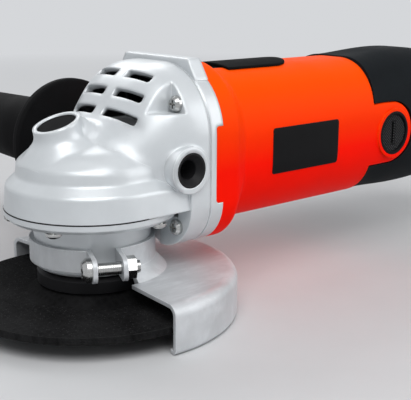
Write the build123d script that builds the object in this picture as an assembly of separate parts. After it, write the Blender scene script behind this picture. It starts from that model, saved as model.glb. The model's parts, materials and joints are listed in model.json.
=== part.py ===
from build123d import *
import os
from math import acos, cos, hypot, pi, radians, tan

# An angle grinder of the 115 mm class with its wheel, guard and side handle mounted.
# The spindle runs along Z and its free end is the origin. The motor lies behind it along X,
# and the side handle is screwed into the far side, +Y. All sizes are in millimetres.

# Clearances and cutters
seat_gap = 0.05          # a fixed piece in its seat
run_gap = 0.08           # a shaft or pin that turns or slides in a bore
slide_gap = 0.4          # a moving piece beside a wall that it doesn't touch
overcut = 1.0            # cutters run this far past the faces that they open
far = 300.0              # reach of a cutter that takes everything on its side

# Main stations
motor_axis_z = 60.5      # height of the motor's axis above the spindle's free end
head_length = 33.2       # from the spindle's axis back to the gear head's rear face
flange_thickness = 7.4
housing_length = 100.4
handle_length = 109.0
split_drop = 17.0        # the gear head sits on its cover this far below the motor's axis
seam_x = head_length
flange_x = seam_x + flange_thickness
housing_end_x = flange_x + housing_length
handle_end_x = housing_end_x + handle_length
split_z = motor_axis_z - split_drop

# Spindle, wheel and what clamps it, upwards from the free end
stub_length = 3.4        # of the free end below the clamp nut
lead_length = 3.0        # plain end ahead of the thread
lead_radius = 6.8
nut_height = 5.2
nut_radius = 18.5
nut_bevel_width = 4.0
nut_bevel_height = 1.8
nut_hole_circle = 12.5
nut_hole_radius = 2.5
nut_hole_depth = 4.0
wheel_radius = 57.5
wheel_thickness = 3.0
wheel_dish = 4.6         # depth of the wheel's sunk centre
wheel_bore_radius = 11.1
wheel_hub_radius = 19.5
wheel_slope_radius = 27.0
wheel_slope_lead = 1.0   # of the slope's upper side outside its lower side
inner_flange_radius = 23.6
inner_flange_height = 5.9
inner_flange_bevel = 1.2
pilot_height = 2.0       # of the flange's collar that centres the wheel
pilot_gap = 0.1
thread_radius = 7.0
shoulder_radius = 9.0
journal_radius = 6.0
tip_radius = 4.0
tip_length = 9.5
spindle_top_gap = 1.5    # of the journal's end below the gear chamber's roof
spindle_seat_gap = 0.1   # of the shoulder below the main bearing
nut_z = stub_length
hub_z = nut_z + nut_height
inner_flange_z = hub_z + wheel_thickness
shoulder_z = inner_flange_z + inner_flange_height

# Gearbox cover with the neck that the guard clamps on, and the bearing in it
cover_thickness = 4.0
cover_radius = 36.2
cover_bevel = 1.5
cover_relief = 0.3       # the cover's rear is cut flat this far ahead of the seam
cover_spigot_height = 2.6
neck_radius = 24.5
neck_bore_radius = 11.5
neck_clearance = 1.2     # between the neck and the turning flange
neck_bevel = 1.0
neck_cone = 2.5
seal_width = 3.5
main_bearing_radius = 16.0
main_bearing_width = 10.0
main_bearing_drop = 11.5     # below the split
retainer_overlap = 2.5
retainer_thickness = 1.6
top_bearing_wall = 2.5
top_bearing_width = 7.0
top_bearing_inset = 0.5  # above the gear chamber's roof
bearing_seal_depth = 0.4
bearing_ring_share = 0.28    # each ring's share of a bearing's wall
cover_screw_circle = 33.0
cover_screw_angles = (-70, 70, -150, 150)
cover_screw_radius = 2.0
cover_screw_head = 3.2
cover_screw_head_height = 2.0
cover_screw_grip = 7.0
cover_screw_tip_gap = 0.5
cover_z = split_z - cover_thickness
neck_z = shoulder_z + neck_clearance
main_bearing_z = split_z - main_bearing_drop

# Gear pair: straight bevel, with the crown gear on the spindle under the pinion
gear_module = 1.25
crown_teeth = 37
pinion_teeth = 11
pressure_angle = 20.0
root_share = 1.25        # depth of a tooth's root, in modules
profile_shift = 0.35
backlash = 0.16          # taken off each tooth flank
toe_share = 0.72         # inner end of the teeth, as a share of the cone distance
tooth_sink = 0.3         # how far a tooth reaches into its blank
crown_drop = 14.3        # of the crown gear's lower face below the motor's axis
crown_web_drop = 7.5     # of its upper web
crown_bevel = 2.0
crown_web_lip = 0.8
pinion_bore_radius = 3.0
pinion_hub_radius = 6.5
pinion_hub_gap = 1.2     # from the pinion's back to the seam
pinion_nut_radius = 4.1
pinion_nut_height = 4.0
key_width = 2.5
key_reach = 7.2
key_depth = 4.6
key_end_gap = 1.0
clip_width = 1.4
clip_thickness = 1.2
clip_mouth = 4.0
crown_z = motor_axis_z - crown_drop
crown_web_z = motor_axis_z - crown_web_drop

# Gear head casting
head_half_width = 37.0
head_rise = 40.5         # of the head's top above the motor's axis
head_fall = 35.5         # of its lowest edge below the axis
head_corner = 29.0
head_low_corner = 20.0
dome_profile = (
    # radius, height above the split, rounding of the corner
    (35.2, 9.9, 2.5),
    (31.0, 13.9, 2.0),
    (30.4, 18.9, 3.0),
    (24.0, 24.5, 8.0),
)
dome_rise = 31.5         # of the dome's middle above the split
hood_stations = (
    # distance ahead of the seam, half width lost, height lost, corner
    (47.2, 18.0, 37.6, 13.0),
    (37.2, 13.0, 27.0, 18.0),
    (25.2, 7.0, 14.2, 23.0),
    (13.2, 2.4, 2.0, 27.0),
    (7.2, 1.0, 0.2, 28.5),
    (0.0, 0.0, 0.0, head_corner),
)
duct_stations = (
    # distance ahead of the seam, half width, height lost, corner
    (29.2, 17.0, 22.4, 4.5),
    (24.2, 19.0, 17.0, 9.5),
    (13.2, 21.4, 5.4, 16.0),
    (7.2, 21.4, 3.4, 16.0),
    (-overcut, 21.4, 3.0, 16.0),
)
duct_rise = 13.5         # of the duct's floor above the motor's axis
chin_gap = 0.6           # between the chin and the cover's rim
chin_hollow = 4.0        # room for the guard's band between the neck and the chin
chamber_radius = 31.0
chamber_step_drop = 8.0
chamber_inner_radius = 27.0
chamber_top_drop = 0.5
tunnel_radius = 10.5
tunnel_x = 11.0
screw_pocket_length = 9.7
screw_pocket_y = 24.4
screw_pocket_rise = 22.1
head_screw_y = 28.0
head_screw_z = 25.6      # above and below the motor's axis
head_screw_radius = 2.1
head_screw_head = 3.3
head_screw_head_height = 2.6
head_screw_length = 24.0
head_screw_tip_gap = 0.5
head_top_z = motor_axis_z + head_rise
head_bottom_z = motor_axis_z - head_fall
chamber_step_z = motor_axis_z - chamber_step_drop
chamber_top_z = motor_axis_z - chamber_top_drop
top_bearing_z = chamber_top_z + top_bearing_inset
top_bearing_end_z = top_bearing_z + top_bearing_width
screw_pocket_x = seam_x - screw_pocket_length

# Vent slots in the head's sloping deck, in two columns
deck_angle = 46.8
deck_point = (29.5, 18.8)        # ahead of the seam, below the head's top
vent_rows = ((0.4, 22.5), (9.8, 20.5), (19.2, 18.5))    # place up the deck, outer end
vent_inner_y = 3.0
vent_height = 4.0
vent_corner = 1.2
vent_depth = 9.0

# Spindle lock
lock_x = -15.8
lock_rise = 18.5         # of the button's middle above the motor's axis
lock_tilt = 12.5
lock_face_tilt = 20.0
lock_radius = 8.0
lock_side_gap = 0.25
lock_rim = 1.9
lock_rim_height = 6.0
lock_flare_radius = 19.0
lock_flare_depth = 14.0
lock_flare_rise = 8.5
lock_flare_round = 6.0
lock_cap_height = 6.0
lock_face_drop = 0.5     # the button's face lies this far below the rim
lock_travel = 4.0
lock_bore_depth = 12.0
lock_pin_radius = 2.0
lock_pin_seat = 3.0
lock_pin_play = 0.3      # in the crown gear's holes
lock_pin_stop = 0.75     # left between the pressed pin and the crown gear's web
lock_spring_gap = 1.6
lock_spring_wall = 1.0
lock_clip_width = 1.6
lock_clip_thickness = 0.6
lock_clip_mouth = 2.4
lock_z = motor_axis_z + lock_rise

# Side handle and its sockets
socket_lead = 10.7       # of the sockets' axis ahead of the seam
socket_face_y = 38.4
socket_radius = 7.2
socket_boss_radius = 9.6
socket_depth = 12.0
socket_chamfer = 2.4
stud_radius = 4.0
stud_end_gap = 1.0
stud_grip = 15.9         # of the stud's length inside the grip
stud_tip_gap = 0.1
grip_neck_radius = 10.5
grip_neck_gap = 0.1
grip_flange_y = 49.8
grip_flange_radius = 28.9
grip_flange_thickness = 4.5
grip_radius = 16.3
grip_length = 112.0
grip_waist = 3.0         # the grip is this much slimmer behind its flange
grip_hollow = 1.2        # and this much before its thicker end
grip_bulge = 1.0
socket_x = seam_x - socket_lead

# Wheel guard
guard_sheet = 1.7
guard_radius = 61.3
guard_plate_z = 16.0
guard_lip_z = -4.2
guard_lip = 3.6
guard_lip_rise = 0.8
guard_half_angle = 94.0
guard_corner = 4.5
guard_lip_corner = 2.0
collar_half_angle = 88.0
collar_radius = 31.0     # where the collar rises from the plate
collar_lean = 2.2
collar_lap = 1.0
band_sheet = 1.8
band_gap = 0.1           # between the band and the neck
band_rise = 2.5          # of the band above the neck's lower edge
band_height = 9.4
band_weld = 0.4          # the plate's inner edge overlaps the collar by this much
clamp_angle = -114.0
clamp_gap = 10.0
ear_radius = 41.0
ear_corner = 3.5
clamp_screw_circle = 35.5
clamp_screw_radius = 2.4
clamp_screw_head = 4.8
clamp_screw_head_height = 3.6
clamp_screw_tail = 5.5
clamp_nut_radius = 4.6
clamp_nut_height = 3.8
clamp_hole_gap = 0.2
band_radius = neck_radius + band_gap
band_z = neck_z + band_rise
clamp_z = band_z + band_height / 2

# Bearing flange between the gear head and the motor housing
seam_width = 0.9
seam_depth = 0.6
rib_half_width = 21.5
rib_foot_half_width = 27.0
rib_height = 2.0
rib_depth = 6.5
rib_round = 0.8
notch_depth = 3.8
notch_half_height = 16.1
notch_wall = 4.5
notch_round = 1.5
notch_gap = 0.1
window_width = 40.0
window_height = 17.0
window_corner = 6.0
window_rise = 26.5
front_bearing_radius = 13.0
front_bearing_width = 8.0
front_bearing_inset = 0.4
front_bearing_wall = 3.5
front_bearing_lip = 2.0
front_bearing_lip_width = 4.0
front_bearing_x = seam_x + front_bearing_inset

# Motor housing
housing_wall = 3.0
tube_width = 67.0
tube_height = 68.0
tube_corner = 28.0
tube_rise = 2.0          # of the tube's middle above the motor's axis
flare_length = 8.4
flare_slope = 7.0
fan_chamber_radius = 30.5
fan_chamber_length = 21.4
skeleton_radius = 29.0   # of the round rear that carries brushes and rear bearing
lobe_radius = 15.5
lobe_offset = 16.0       # of the brushes behind the housing's rear edge
lobe_depth = 18.5
lobe_root = 6.0
lobe_round = 2.0
joint_bow_radius = 120.0 # the housing's rear edge is bowed towards the head
joint_bow_depth = 6.0
flare_round = 5.0
flare_foot_round = 4.0
cap_radius = 9.8
cap_height = 4.6
cap_inset = 0.2
cap_gap = 0.12
cap_ring = 2.6
cap_ring_height = 0.7
cap_round = 0.6
cap_proud = 0.4
cap_slot_width = 2.2
cap_slot_length = 11.0
cap_slot_depth = 1.6
rear_wall_offset = 13.0  # of the rear wall behind the brushes
rear_wall_rim = 2.5
tube_top_z = motor_axis_z + tube_rise + tube_height / 2
slope_x = flange_x + flare_length
tube_x = slope_x + flare_slope
fan_step_x = flange_x + fan_chamber_length
lobe_x = housing_end_x + lobe_offset
rear_wall_x = lobe_x + rear_wall_offset
cap_y = tube_width / 2 - cap_height + cap_inset

# Motor
stator_radius = 29.0
stator_bore_radius = 17.0
stator_offset = 8.0      # behind the fan chamber's step
stator_length = 60.0
stator_stop = 4.0        # the stator's bore ends this far before the housing's rear edge
coil_inner_y = 14.0
coil_outer_y = 20.0
coil_low = 15.0          # distances from the motor's axis
coil_high = 19.5
coil_end = 6.5           # of each coil past the stator
coil_end_gap = 0.5
coil_gap = 0.1
coil_round = 4.0
core_radius = 16.6
core_inset = 2.0         # of the armature's core inside the stator's ends
core_slots = 12
core_slot_width = 2.6
core_slot_radius = 9.5
core_slot_roof = 1.2     # thickness of the tooth tips over a slot
core_mouth_width = 1.2
winding_gap = 0.1
winding_radius = 15.0
winding_inner_radius = 11.0
winding_front = (4.0, 8.0)   # full width, then tapered, ahead of the core
winding_rear = (5.0, 10.0)
commutator_radius = 12.0
commutator_length = 19.0
commutator_bars = 24
commutator_cut_width = 0.5
commutator_cut_depth = 0.6
commutator_flange = 1.6
commutator_flange_width = 2.5
shaft_radius = 6.0
front_journal_radius = 5.0
rear_journal_radius = 4.0
shaft_lead = 5.0         # of the shaft's front end ahead of the pinion's teeth
shaft_step = 2.0
shaft_tail = 1.5
rear_bearing_radius = 11.0
rear_bearing_width = 7.0
rear_bearing_offset = 3.5
rear_bearing_lip = 2.0
rear_journal_gap = 0.5
sleeve_wall = 1.5
sleeve_rim = 1.0
fan_radius = 27.0
fan_offset = 5.9         # behind the flange
fan_width = 11.0
fan_plate = 1.5
fan_hub_radius = 9.0
fan_blades = 18
fan_blade_start = 1.5
fan_blade_length = 16.8
fan_blade_thickness = 1.2
fan_blade_sweep = 18.0
baffle_thickness = 2.0
baffle_bore_radius = 19.0
stator_x = fan_step_x + stator_offset
core_x = stator_x + core_inset
core_length = stator_length - 2 * core_inset
commutator_x = lobe_x - commutator_length / 2
rear_bearing_x = rear_wall_x + rear_bearing_offset
rear_wall_end_x = rear_bearing_x + rear_bearing_width + rear_wall_rim
fan_x = flange_x + fan_offset

# Brushes
brush_width = 8.0
brush_height = 5.0
brush_gap = 0.05
brush_end_y = 23.0
holder_wall = 1.4
holder_y = 14.0
holder_end_gap = 0.1
brush_spring_radius = 2.2
brush_spring_wall = 0.7

# Slide switch
pad_offset = 24.0        # of the pad behind the flange
pad_length = 42.5
pad_half_width = 13.0
pad_rise = 1.7           # of the pad's crown above the housing's top
pad_crown_radius = 60.0
pad_gap = 0.3
pad_round = 0.5
switch_travel = 7.0
track_depth = 1.9
track_drop = 0.1         # the track lies this far below the housing's top
track_half_width = 8.0   # beside it the pad hangs lower than the track
track_front_half_width = 19.0
track_front_drop = 0.8   # below the gear head's top
track_ramp = 11.4
track_tail = 1.5
stem_offset = 11.0
stem_length = 6.0
stem_half_width = 4.0
stem_end_gap = 0.6
rod_drop = 5.9
rod_height = 2.0
rod_half_width = 3.0
rod_foot = (3.0, 8.0)    # thickness, depth
rod_channel_depth = 10.1  # the channel opens into the motor's bore
module_offset = 13.0     # of the switch's plunger behind the rear wall
module_length = 24.0
module_half_width = 8.0
module_low = 5.5         # heights above the motor's axis
module_high = 27.5
plunger_length = 8.0
plunger_half_width = 2.5
plunger_height = 5.0
plunger_drop = 7.0
shelf_inset = 2.0
pad_x = flange_x + pad_offset
stem_x = pad_x + stem_offset
track_waist_x = pad_x - switch_travel - pad_gap
track_z = tube_top_z - track_drop
track_floor_z = tube_top_z - track_depth
rod_z = tube_top_z - rod_drop
module_x = rear_wall_end_x + module_offset
module_low_z = motor_axis_z + module_low
module_high_z = motor_axis_z + module_high

# Rear handle: two moulded halves that meet on the middle plane
handle_wall = 3.0
handle_end_wall = 4.0
handle_joint_gap = 0.2
handle_split_gap = 0.03
handle_stations = (
    # distance from the joint with the housing, width, height, corner, middle above the motor's axis
    (0.0, 67.6, 69.8, 28.0, 2.8),
    (30.0, 67.6, 70.6, 28.0, 3.0),
    (65.0, 66.0, 69.6, 28.0, 2.7),
    (handle_length - 19.0, 60.0, 62.0, 27.0, 1.0),
    (handle_length - 4.0, 48.0, 49.0, 23.5, -0.5),
    (handle_length, 38.0, 39.0, 18.0, -0.9),
)
handle_mouth = (61.6, 63.8, 25.0)    # width, height and corner of the joint's opening
handle_mouth_depth = 2.0
handle_screw_places = (
    # x, height above the motor's axis
    (rear_wall_end_x + 9.0, -20.5),
    (handle_end_x - 16.0, 17.5),
    (handle_end_x - 16.0, -16.5),
)
handle_screw_radius = 2.0
handle_screw_head = 3.5
handle_screw_head_height = 2.4
handle_screw_length = 36.0
handle_screw_y = 20.0
handle_boss_radius = 4.2
handle_boss_reach = 24.0
handle_bore_end_y = 18.0
intake_slots = 5
intake_pitch = 6.0
intake_offset = 17.0     # behind the rear wall
intake_drop = 8.0
intake_height = 22.0
intake_width = 2.6
intake_inner_y = 14.0
fit_gap = 0.3            # between the handle and the housing's lobes and rear
cord_radius = 4.5
gland_drop = 0.9
gland_radius = 8.0
gland_length = 10.0
gland_collar = 2.0
gland_collar_width = 1.5
gland_nose = 2.0
gland_z = motor_axis_z - gland_drop

MOTOR_AXIS = Location((0, 0, motor_axis_z), (0, 90, 0))           # local Z runs along the motor
SOCKET_AXIS = Location((socket_x, 0, motor_axis_z), (-90, 0, 0))  # local Z runs to the far side
LOCK_AXIS = Location((lock_x, 0, lock_z), (0, -lock_tilt, 0))
LOCK_FACE = Location((lock_x, 0, lock_z), (0, -lock_face_tilt, 0))
AT_CLAMP = Rot(0, 0, clamp_angle)


def turned(*points):
    """A solid of revolution about Z from (radius, height) corners."""
    return revolve(make_face(Polyline(*[(r, 0, h) for r, h in points], close=True)), Axis.Z)


def ring(outer, inner, low, high):
    """A plain ring about Z."""
    return turned((inner, low), (outer, low), (outer, high), (inner, high))


def disc(radius, low, high):
    """A plain cylinder about Z."""
    return Pos(0, 0, low) * Cylinder(radius, high - low, align=(Align.CENTER, Align.CENTER, Align.MIN))


def block(x, y, z):
    """A box from its (low, high) pairs."""
    size = (x[1] - x[0], y[1] - y[0], z[1] - z[0])
    return Pos((x[0] + x[1]) / 2, (y[0] + y[1]) / 2, (z[0] + z[1]) / 2) * Box(*size)


def beside(side, near, outer):
    """A (low, high) pair on one side of the middle plane."""
    return sorted((side * near, side * outer))


def about(middle, half):
    """A (low, high) pair about a middle."""
    return (middle - half, middle + half)


def across(radius, x, z, low, high):
    """A cylinder along Y at the given x and z."""
    return Location((x, low, z), (-90, 0, 0)) * disc(radius, 0, high - low)


def along(radius, y, z, low, high):
    """A cylinder along X at the given y and z."""
    return Location((low, y, z), (0, 90, 0)) * disc(radius, 0, high - low)


def section(x, width, height, corner, centre_z):
    """A rounded rectangle that faces the rear at station x."""
    plane = Plane(origin=(x, 0, centre_z), x_dir=(0, 1, 0), z_dir=(1, 0, 0))
    return plane * RectangleRounded(width, height, corner)


def barrel_section(x, half_width, low, high, low_corner, high_corner):
    """A rounded outline at station x whose lower corners differ from its upper ones."""
    edges = [Line((x, side * half_width, low + low_corner), (x, side * half_width, high - high_corner))
             for side in (-1, 1)]
    for end, corner, up in ((low, low_corner, 1), (high, high_corner, -1)):
        flat = half_width - corner
        turn = corner * (1 - cos(pi / 4))
        edges.append(Line((x, -flat, end), (x, flat, end)))
        for side in (-1, 1):
            edges.append(ThreePointArc((x, side * half_width, end + up * corner),
                                       (x, side * (half_width - turn), end + up * turn), (x, side * flat, end)))
    return make_face(edges)


def pushed_back(sketch, length):
    """A sketch that faces the rear, extruded that way."""
    return extrude(sketch, length, dir=(1, 0, 0))


def hood_section(x, half_width, top, corner, bottom):
    """A doorway outline at station x: square below, rounded above."""
    side = top - corner
    turn = corner * (1 - cos(pi / 4))
    flat = half_width - corner
    edges = [
        Line((x, -half_width, bottom), (x, -half_width, side)),
        ThreePointArc((x, -half_width, side), (x, turn - half_width, top - turn), (x, -flat, top)),
        Line((x, -flat, top), (x, flat, top)),
        ThreePointArc((x, flat, top), (x, half_width - turn, top - turn), (x, half_width, side)),
        Line((x, half_width, side), (x, half_width, bottom)),
        Line((x, half_width, bottom), (x, -half_width, bottom)),
    ]
    return make_face(edges)


def round_ended(x, end_x, half):
    """The outline of a plate seen from above: square in front, a half circle behind."""
    middle = end_x - half
    sides = Polyline((middle, half), (x, half), (x, -half), (middle, -half)).edges()
    return make_face(sides + [ThreePointArc((middle, -half), (end_x, 0), (middle, half))])


def screw(shank, length, head, head_height):
    """A pan head screw: seat at z = 0, head above it, shank below, with a cross recess."""
    crown = turned((0, 0), (head, 0), (head, head_height * 0.55), (head * 0.7, head_height), (0, head_height))
    body = disc(shank, -length, 0) + crown
    arm = block(about(0, head * 0.55), about(0, head * 0.13), (head_height * 0.45, head_height + overcut))
    return body - arm - Rot(0, 0, 90) * arm


def mirrored_pair(part):
    """The part and its mirror image on the far side."""
    return Compound(children=[part, mirror(part, Plane.XZ)])


def around(part, angles):
    """Copies of a part turned about Z."""
    return [Rot(0, 0, angle) * part for angle in angles]


def evenly(part, count):
    """Copies of a part spread evenly about Z."""
    return around(part, [360 * i / count for i in range(count)])


# Gear teeth: every line of a straight bevel tooth runs to the apex where the two axes cross
crown_pitch_radius = gear_module * crown_teeth / 2
pinion_pitch_radius = gear_module * pinion_teeth / 2
cone_distance = hypot(crown_pitch_radius, pinion_pitch_radius)
involute = tan(radians(pressure_angle)) - radians(pressure_angle)
pinion_addendum = gear_module * (1 + profile_shift)
pinion_dedendum = gear_module * (root_share - profile_shift)
crown_addendum = gear_module * (1 - profile_shift)
crown_dedendum = gear_module * (root_share + profile_shift)
pinion_cosine = crown_pitch_radius / cone_distance
crown_cosine = pinion_pitch_radius / cone_distance
pinion_heel_x = crown_pitch_radius + pinion_dedendum * crown_cosine
pinion_toe_x = pinion_heel_x * toe_share
pinion_back_x = seam_x - pinion_hub_gap


def tooth_half_widths(teeth, cone_cosine, addendum, dedendum, shift, steps):
    """(height above the pitch cone, half width) along an involute flank of the virtual spur gear."""
    pitch = gear_module * teeth / cone_cosine / 2
    base = pitch * cos(radians(pressure_angle))
    half = gear_module * (pi / 4 + shift * tan(radians(pressure_angle))) - backlash
    flank = []
    for i in range(steps + 1):
        height = -dedendum + (addendum + dedendum) * i / steps
        radius = pitch + height
        slope = acos(min(1.0, base / radius))
        width = radius * (half / pitch + involute - (tan(slope) - slope))
        flank.append((height, width))
    return flank


def bevel_tooth(axial, radial, flank):
    """One tooth about Z, pointing to +X; apex at the origin, pitch point at (radial, axial)."""
    sign = 1 if axial > 0 else -1
    normal = (abs(axial) / cone_distance, -sign * radial / cone_distance)
    flank = [(flank[0][0] - tooth_sink, flank[0][1])] + flank
    places = [(radial + h * normal[0], w, axial + h * normal[1]) for h, w in flank]
    loop = places + [(x, -w, z) for x, w, z in reversed(places)]
    heel = make_face(Polyline(*loop, close=True))
    toe = make_face(Polyline(*[tuple(toe_share * c for c in corner) for corner in loop], close=True))
    return loft([toe, heel], ruled=True)


def make_drive_pinion():
    heel = (pinion_pitch_radius - pinion_dedendum * pinion_cosine, pinion_heel_x)
    toe = (heel[0] * toe_share, pinion_toe_x)
    bore = pinion_bore_radius + seat_gap
    blank = turned((bore, toe[1]), toe, heel, (pinion_hub_radius, heel[1]),
                   (pinion_hub_radius, pinion_back_x), (bore, pinion_back_x))
    flank = tooth_half_widths(pinion_teeth, pinion_cosine, pinion_addendum, pinion_dedendum, profile_shift, 4)
    tooth = bevel_tooth(crown_pitch_radius, pinion_pitch_radius, flank)
    return MOTOR_AXIS * (blank + evenly(tooth, pinion_teeth))


def make_crown_gear():
    heel = (crown_pitch_radius - crown_dedendum * crown_cosine,
            -pinion_pitch_radius - crown_dedendum * pinion_cosine)
    toe = (heel[0] * toe_share, heel[1] * toe_share)
    bore = journal_radius + seat_gap
    low = -crown_drop
    web = -crown_web_drop
    blank = turned((bore, low), (heel[0] - crown_bevel, low), (heel[0], low + crown_bevel), heel, toe,
                   (toe[0] - crown_web_lip, web), (bore, web))
    flank = tooth_half_widths(crown_teeth, crown_cosine, crown_addendum, crown_dedendum, -profile_shift, 2)
    tooth = bevel_tooth(-pinion_pitch_radius, crown_pitch_radius, flank)
    gap_first = Rot(0, 0, 180 / crown_teeth) * tooth
    gear = Pos(0, 0, motor_axis_z) * (blank + evenly(gap_first, crown_teeth))
    hole_x = lock_x + (lock_z - crown_web_z) * tan(radians(lock_tilt))
    hole = Pos(hole_x, 0, 0) * disc(lock_pin_radius + lock_pin_play, crown_z, crown_web_z + overcut)
    key_slot = block(about(0, key_width / 2 + seat_gap), (0, key_reach + seat_gap),
                     (crown_z - overcut, crown_web_z + overcut))
    return gear - evenly(hole, 4) - key_slot


# Spindle group
def make_spindle():
    top = chamber_top_z - spindle_top_gap
    seat_z = main_bearing_z - spindle_seat_gap
    body = turned((0, 0), (lead_radius, 0), (lead_radius, lead_length), (thread_radius, lead_length),
                  (thread_radius, shoulder_z), (shoulder_radius, shoulder_z),
                  (shoulder_radius, seat_z), (journal_radius, seat_z), (journal_radius, top),
                  (tip_radius, top), (tip_radius, top + tip_length), (0, top + tip_length))
    seat = block(about(0, key_width / 2 + seat_gap), (key_depth - seat_gap, far),
                 (crown_z + key_end_gap - seat_gap, crown_web_z - key_end_gap + seat_gap))
    return body - seat


def make_woodruff_key():
    return block(about(0, key_width / 2), (key_depth, key_reach),
                 (crown_z + key_end_gap, crown_web_z - key_end_gap))


def make_gear_clip():
    low = crown_web_z + seat_gap
    body = ring(journal_radius + clip_width, journal_radius + seat_gap, low, crown_web_z + clip_thickness)
    return body - block(about(0, clip_mouth / 2), (-far, 0), (0, far))


def make_inner_flange():
    bore = thread_radius + seat_gap
    pilot = wheel_bore_radius - pilot_gap
    top = inner_flange_z + inner_flange_height
    return turned((bore, inner_flange_z - pilot_height), (pilot, inner_flange_z - pilot_height),
                  (pilot, inner_flange_z), (inner_flange_radius, inner_flange_z),
                  (inner_flange_radius, top - inner_flange_bevel),
                  (inner_flange_radius - inner_flange_bevel, top), (bore, top))


def make_grinding_disc():
    low = hub_z - wheel_dish
    high = low + wheel_thickness
    inside = wheel_slope_lead
    return turned((wheel_bore_radius, hub_z), (wheel_hub_radius, hub_z), (wheel_slope_radius, low),
                  (wheel_radius, low), (wheel_radius, high), (wheel_slope_radius + inside, high),
                  (wheel_hub_radius + inside, inner_flange_z), (wheel_bore_radius, inner_flange_z))


def make_clamp_nut():
    bore = thread_radius + seat_gap
    body = turned((bore, nut_z), (nut_radius - nut_bevel_width, nut_z),
                  (nut_radius, nut_z + nut_bevel_height), (nut_radius, hub_z), (bore, hub_z))
    hole = Pos(nut_hole_circle, 0, 0) * disc(nut_hole_radius, nut_z - overcut, nut_z + nut_hole_depth)
    return body - evenly(hole, 2)


# Gearbox cover, with the spindle's bearings
def make_gearbox_cover():
    seat = main_bearing_radius + seat_gap
    wall = seat + retainer_overlap
    spigot = chamber_radius - seat_gap
    seat_top = main_bearing_z + main_bearing_width
    spigot_z = split_z + cover_spigot_height
    body = turned((neck_bore_radius, neck_z), (neck_radius - neck_bevel, neck_z),
                  (neck_radius, neck_z + neck_bevel), (neck_radius, cover_z - neck_cone),
                  (neck_radius + neck_cone, cover_z),
                  (cover_radius - cover_bevel, cover_z), (cover_radius, cover_z + cover_bevel),
                  (cover_radius, split_z), (spigot, split_z), (spigot, spigot_z), (wall, spigot_z),
                  (wall, seat_top), (seat, seat_top), (seat, main_bearing_z),
                  (neck_bore_radius, main_bearing_z))
    hole = Pos(cover_screw_circle, 0, 0) * disc(cover_screw_radius + seat_gap, 0, far)
    flat = block((seam_x - cover_relief, far), (-far, far), (0, far))
    return body - around(hole, cover_screw_angles) - flat


def make_cover_screws():
    one = screw(cover_screw_radius, cover_thickness + cover_screw_grip, cover_screw_head,
                cover_screw_head_height)
    placed = Pos(cover_screw_circle, 0, cover_z) * Rot(180, 0, 0) * one
    return Compound(children=around(placed, cover_screw_angles))


def bearing(outer, inner, width):
    """A sealed ball bearing: two rings with a shallow seal between them."""
    race = (outer - inner) * bearing_ring_share
    dip = bearing_seal_depth
    return turned((inner, 0), (inner + race, 0), (inner + race, dip), (outer - race, dip), (outer - race, 0),
                  (outer, 0), (outer, width), (outer - race, width), (outer - race, width - dip),
                  (inner + race, width - dip), (inner + race, width), (inner, width))


def make_spindle_main_bearing():
    body = bearing(main_bearing_radius, journal_radius + run_gap, main_bearing_width)
    return Pos(0, 0, main_bearing_z) * body


def make_bearing_retainer():
    low = main_bearing_z + main_bearing_width
    return ring(main_bearing_radius + retainer_overlap, journal_radius + retainer_overlap, low,
                low + retainer_thickness)


def make_dust_seal():
    low = neck_z + neck_bevel
    return ring(neck_bore_radius - seat_gap, shoulder_radius + run_gap, low, low + seal_width)


def make_spindle_top_bearing():
    return ring(tip_radius + top_bearing_wall, tip_radius + run_gap, top_bearing_z, top_bearing_end_z)


# Gear head
def dome_outline():
    """Half of the stepped dome's outline in the XZ plane, from the split line up to the axis."""
    foot = (cover_radius, 0, split_z)
    top = (0, 0, split_z + dome_rise)
    corners = [(r, 0, split_z + h) for r, h, _ in dome_profile]
    path = FilletPolyline(foot, *corners, top, radius=[rounding for _, _, rounding in dome_profile])
    return make_face(path.edges() + Polyline(top, (0, 0, split_z), foot).edges())


def head_section(x, inset=0.0):
    """The full outline of the head's rear flange at station x."""
    return barrel_section(x, head_half_width - inset, head_bottom_z + inset, head_top_z - inset,
                          head_low_corner - inset, head_corner - inset)


def hood():
    """The part of the head that rises from the dome to the motor's full section."""
    return loft([hood_section(seam_x - ahead, head_half_width - narrower, head_top_z - lower, corner, split_z)
                 for ahead, narrower, lower, corner in hood_stations])


def chin():
    """The lower edge behind the cover, where the head meets the motor's full section."""
    body = pushed_back(head_section(screw_pocket_x), screw_pocket_length)
    body &= block((0, seam_x), (-far, far), (0, motor_axis_z))
    body -= disc(cover_radius + chin_gap, cover_z - chin_gap, split_z)
    return body - disc(neck_radius + chin_hollow, 0, cover_z)


def lock_boss():
    """The lock button's boss, flared into the dome and cut off at its rim's own angle."""
    rim = lock_radius + lock_rim
    low = -lock_flare_depth
    foot = (lock_flare_radius, 0, low)
    top = (rim, 0, lock_rim_height)
    flare = FilletPolyline(foot, (rim, 0, low + lock_flare_rise), top, radius=lock_flare_round)
    inside = Polyline(top, (0, 0, lock_rim_height), (0, 0, low), foot)
    boss = LOCK_AXIS * revolve(make_face(flare.edges() + inside.edges()), Axis.Z)
    shoulder = dome_profile[2][0]
    return (boss & disc(shoulder, 0, far)) - LOCK_FACE * disc(far, 0, far)


def air_duct():
    """The space behind the vent slots, open to the fan at the rear."""
    floor_z = motor_axis_z + duct_rise
    return loft([hood_section(seam_x - ahead, half_width, head_top_z - lower, corner, floor_z)
                 for ahead, half_width, lower, corner in duct_stations])


def vent_cutters():
    """Rounded slots, square to the deck, in two columns."""
    ahead, below = deck_point
    deck = Location((seam_x - ahead, 0, head_top_z - below), (0, -deck_angle, 0))
    cutters = []
    for up, outer_y in vent_rows:
        slot = extrude(RectangleRounded(vent_height, outer_y - vent_inner_y, vent_corner), 2 * vent_depth)
        for side in (-1, 1):
            cutters.append(deck * Pos(up, side * (vent_inner_y + outer_y) / 2, -vent_depth) * slot)
    return cutters


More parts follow.
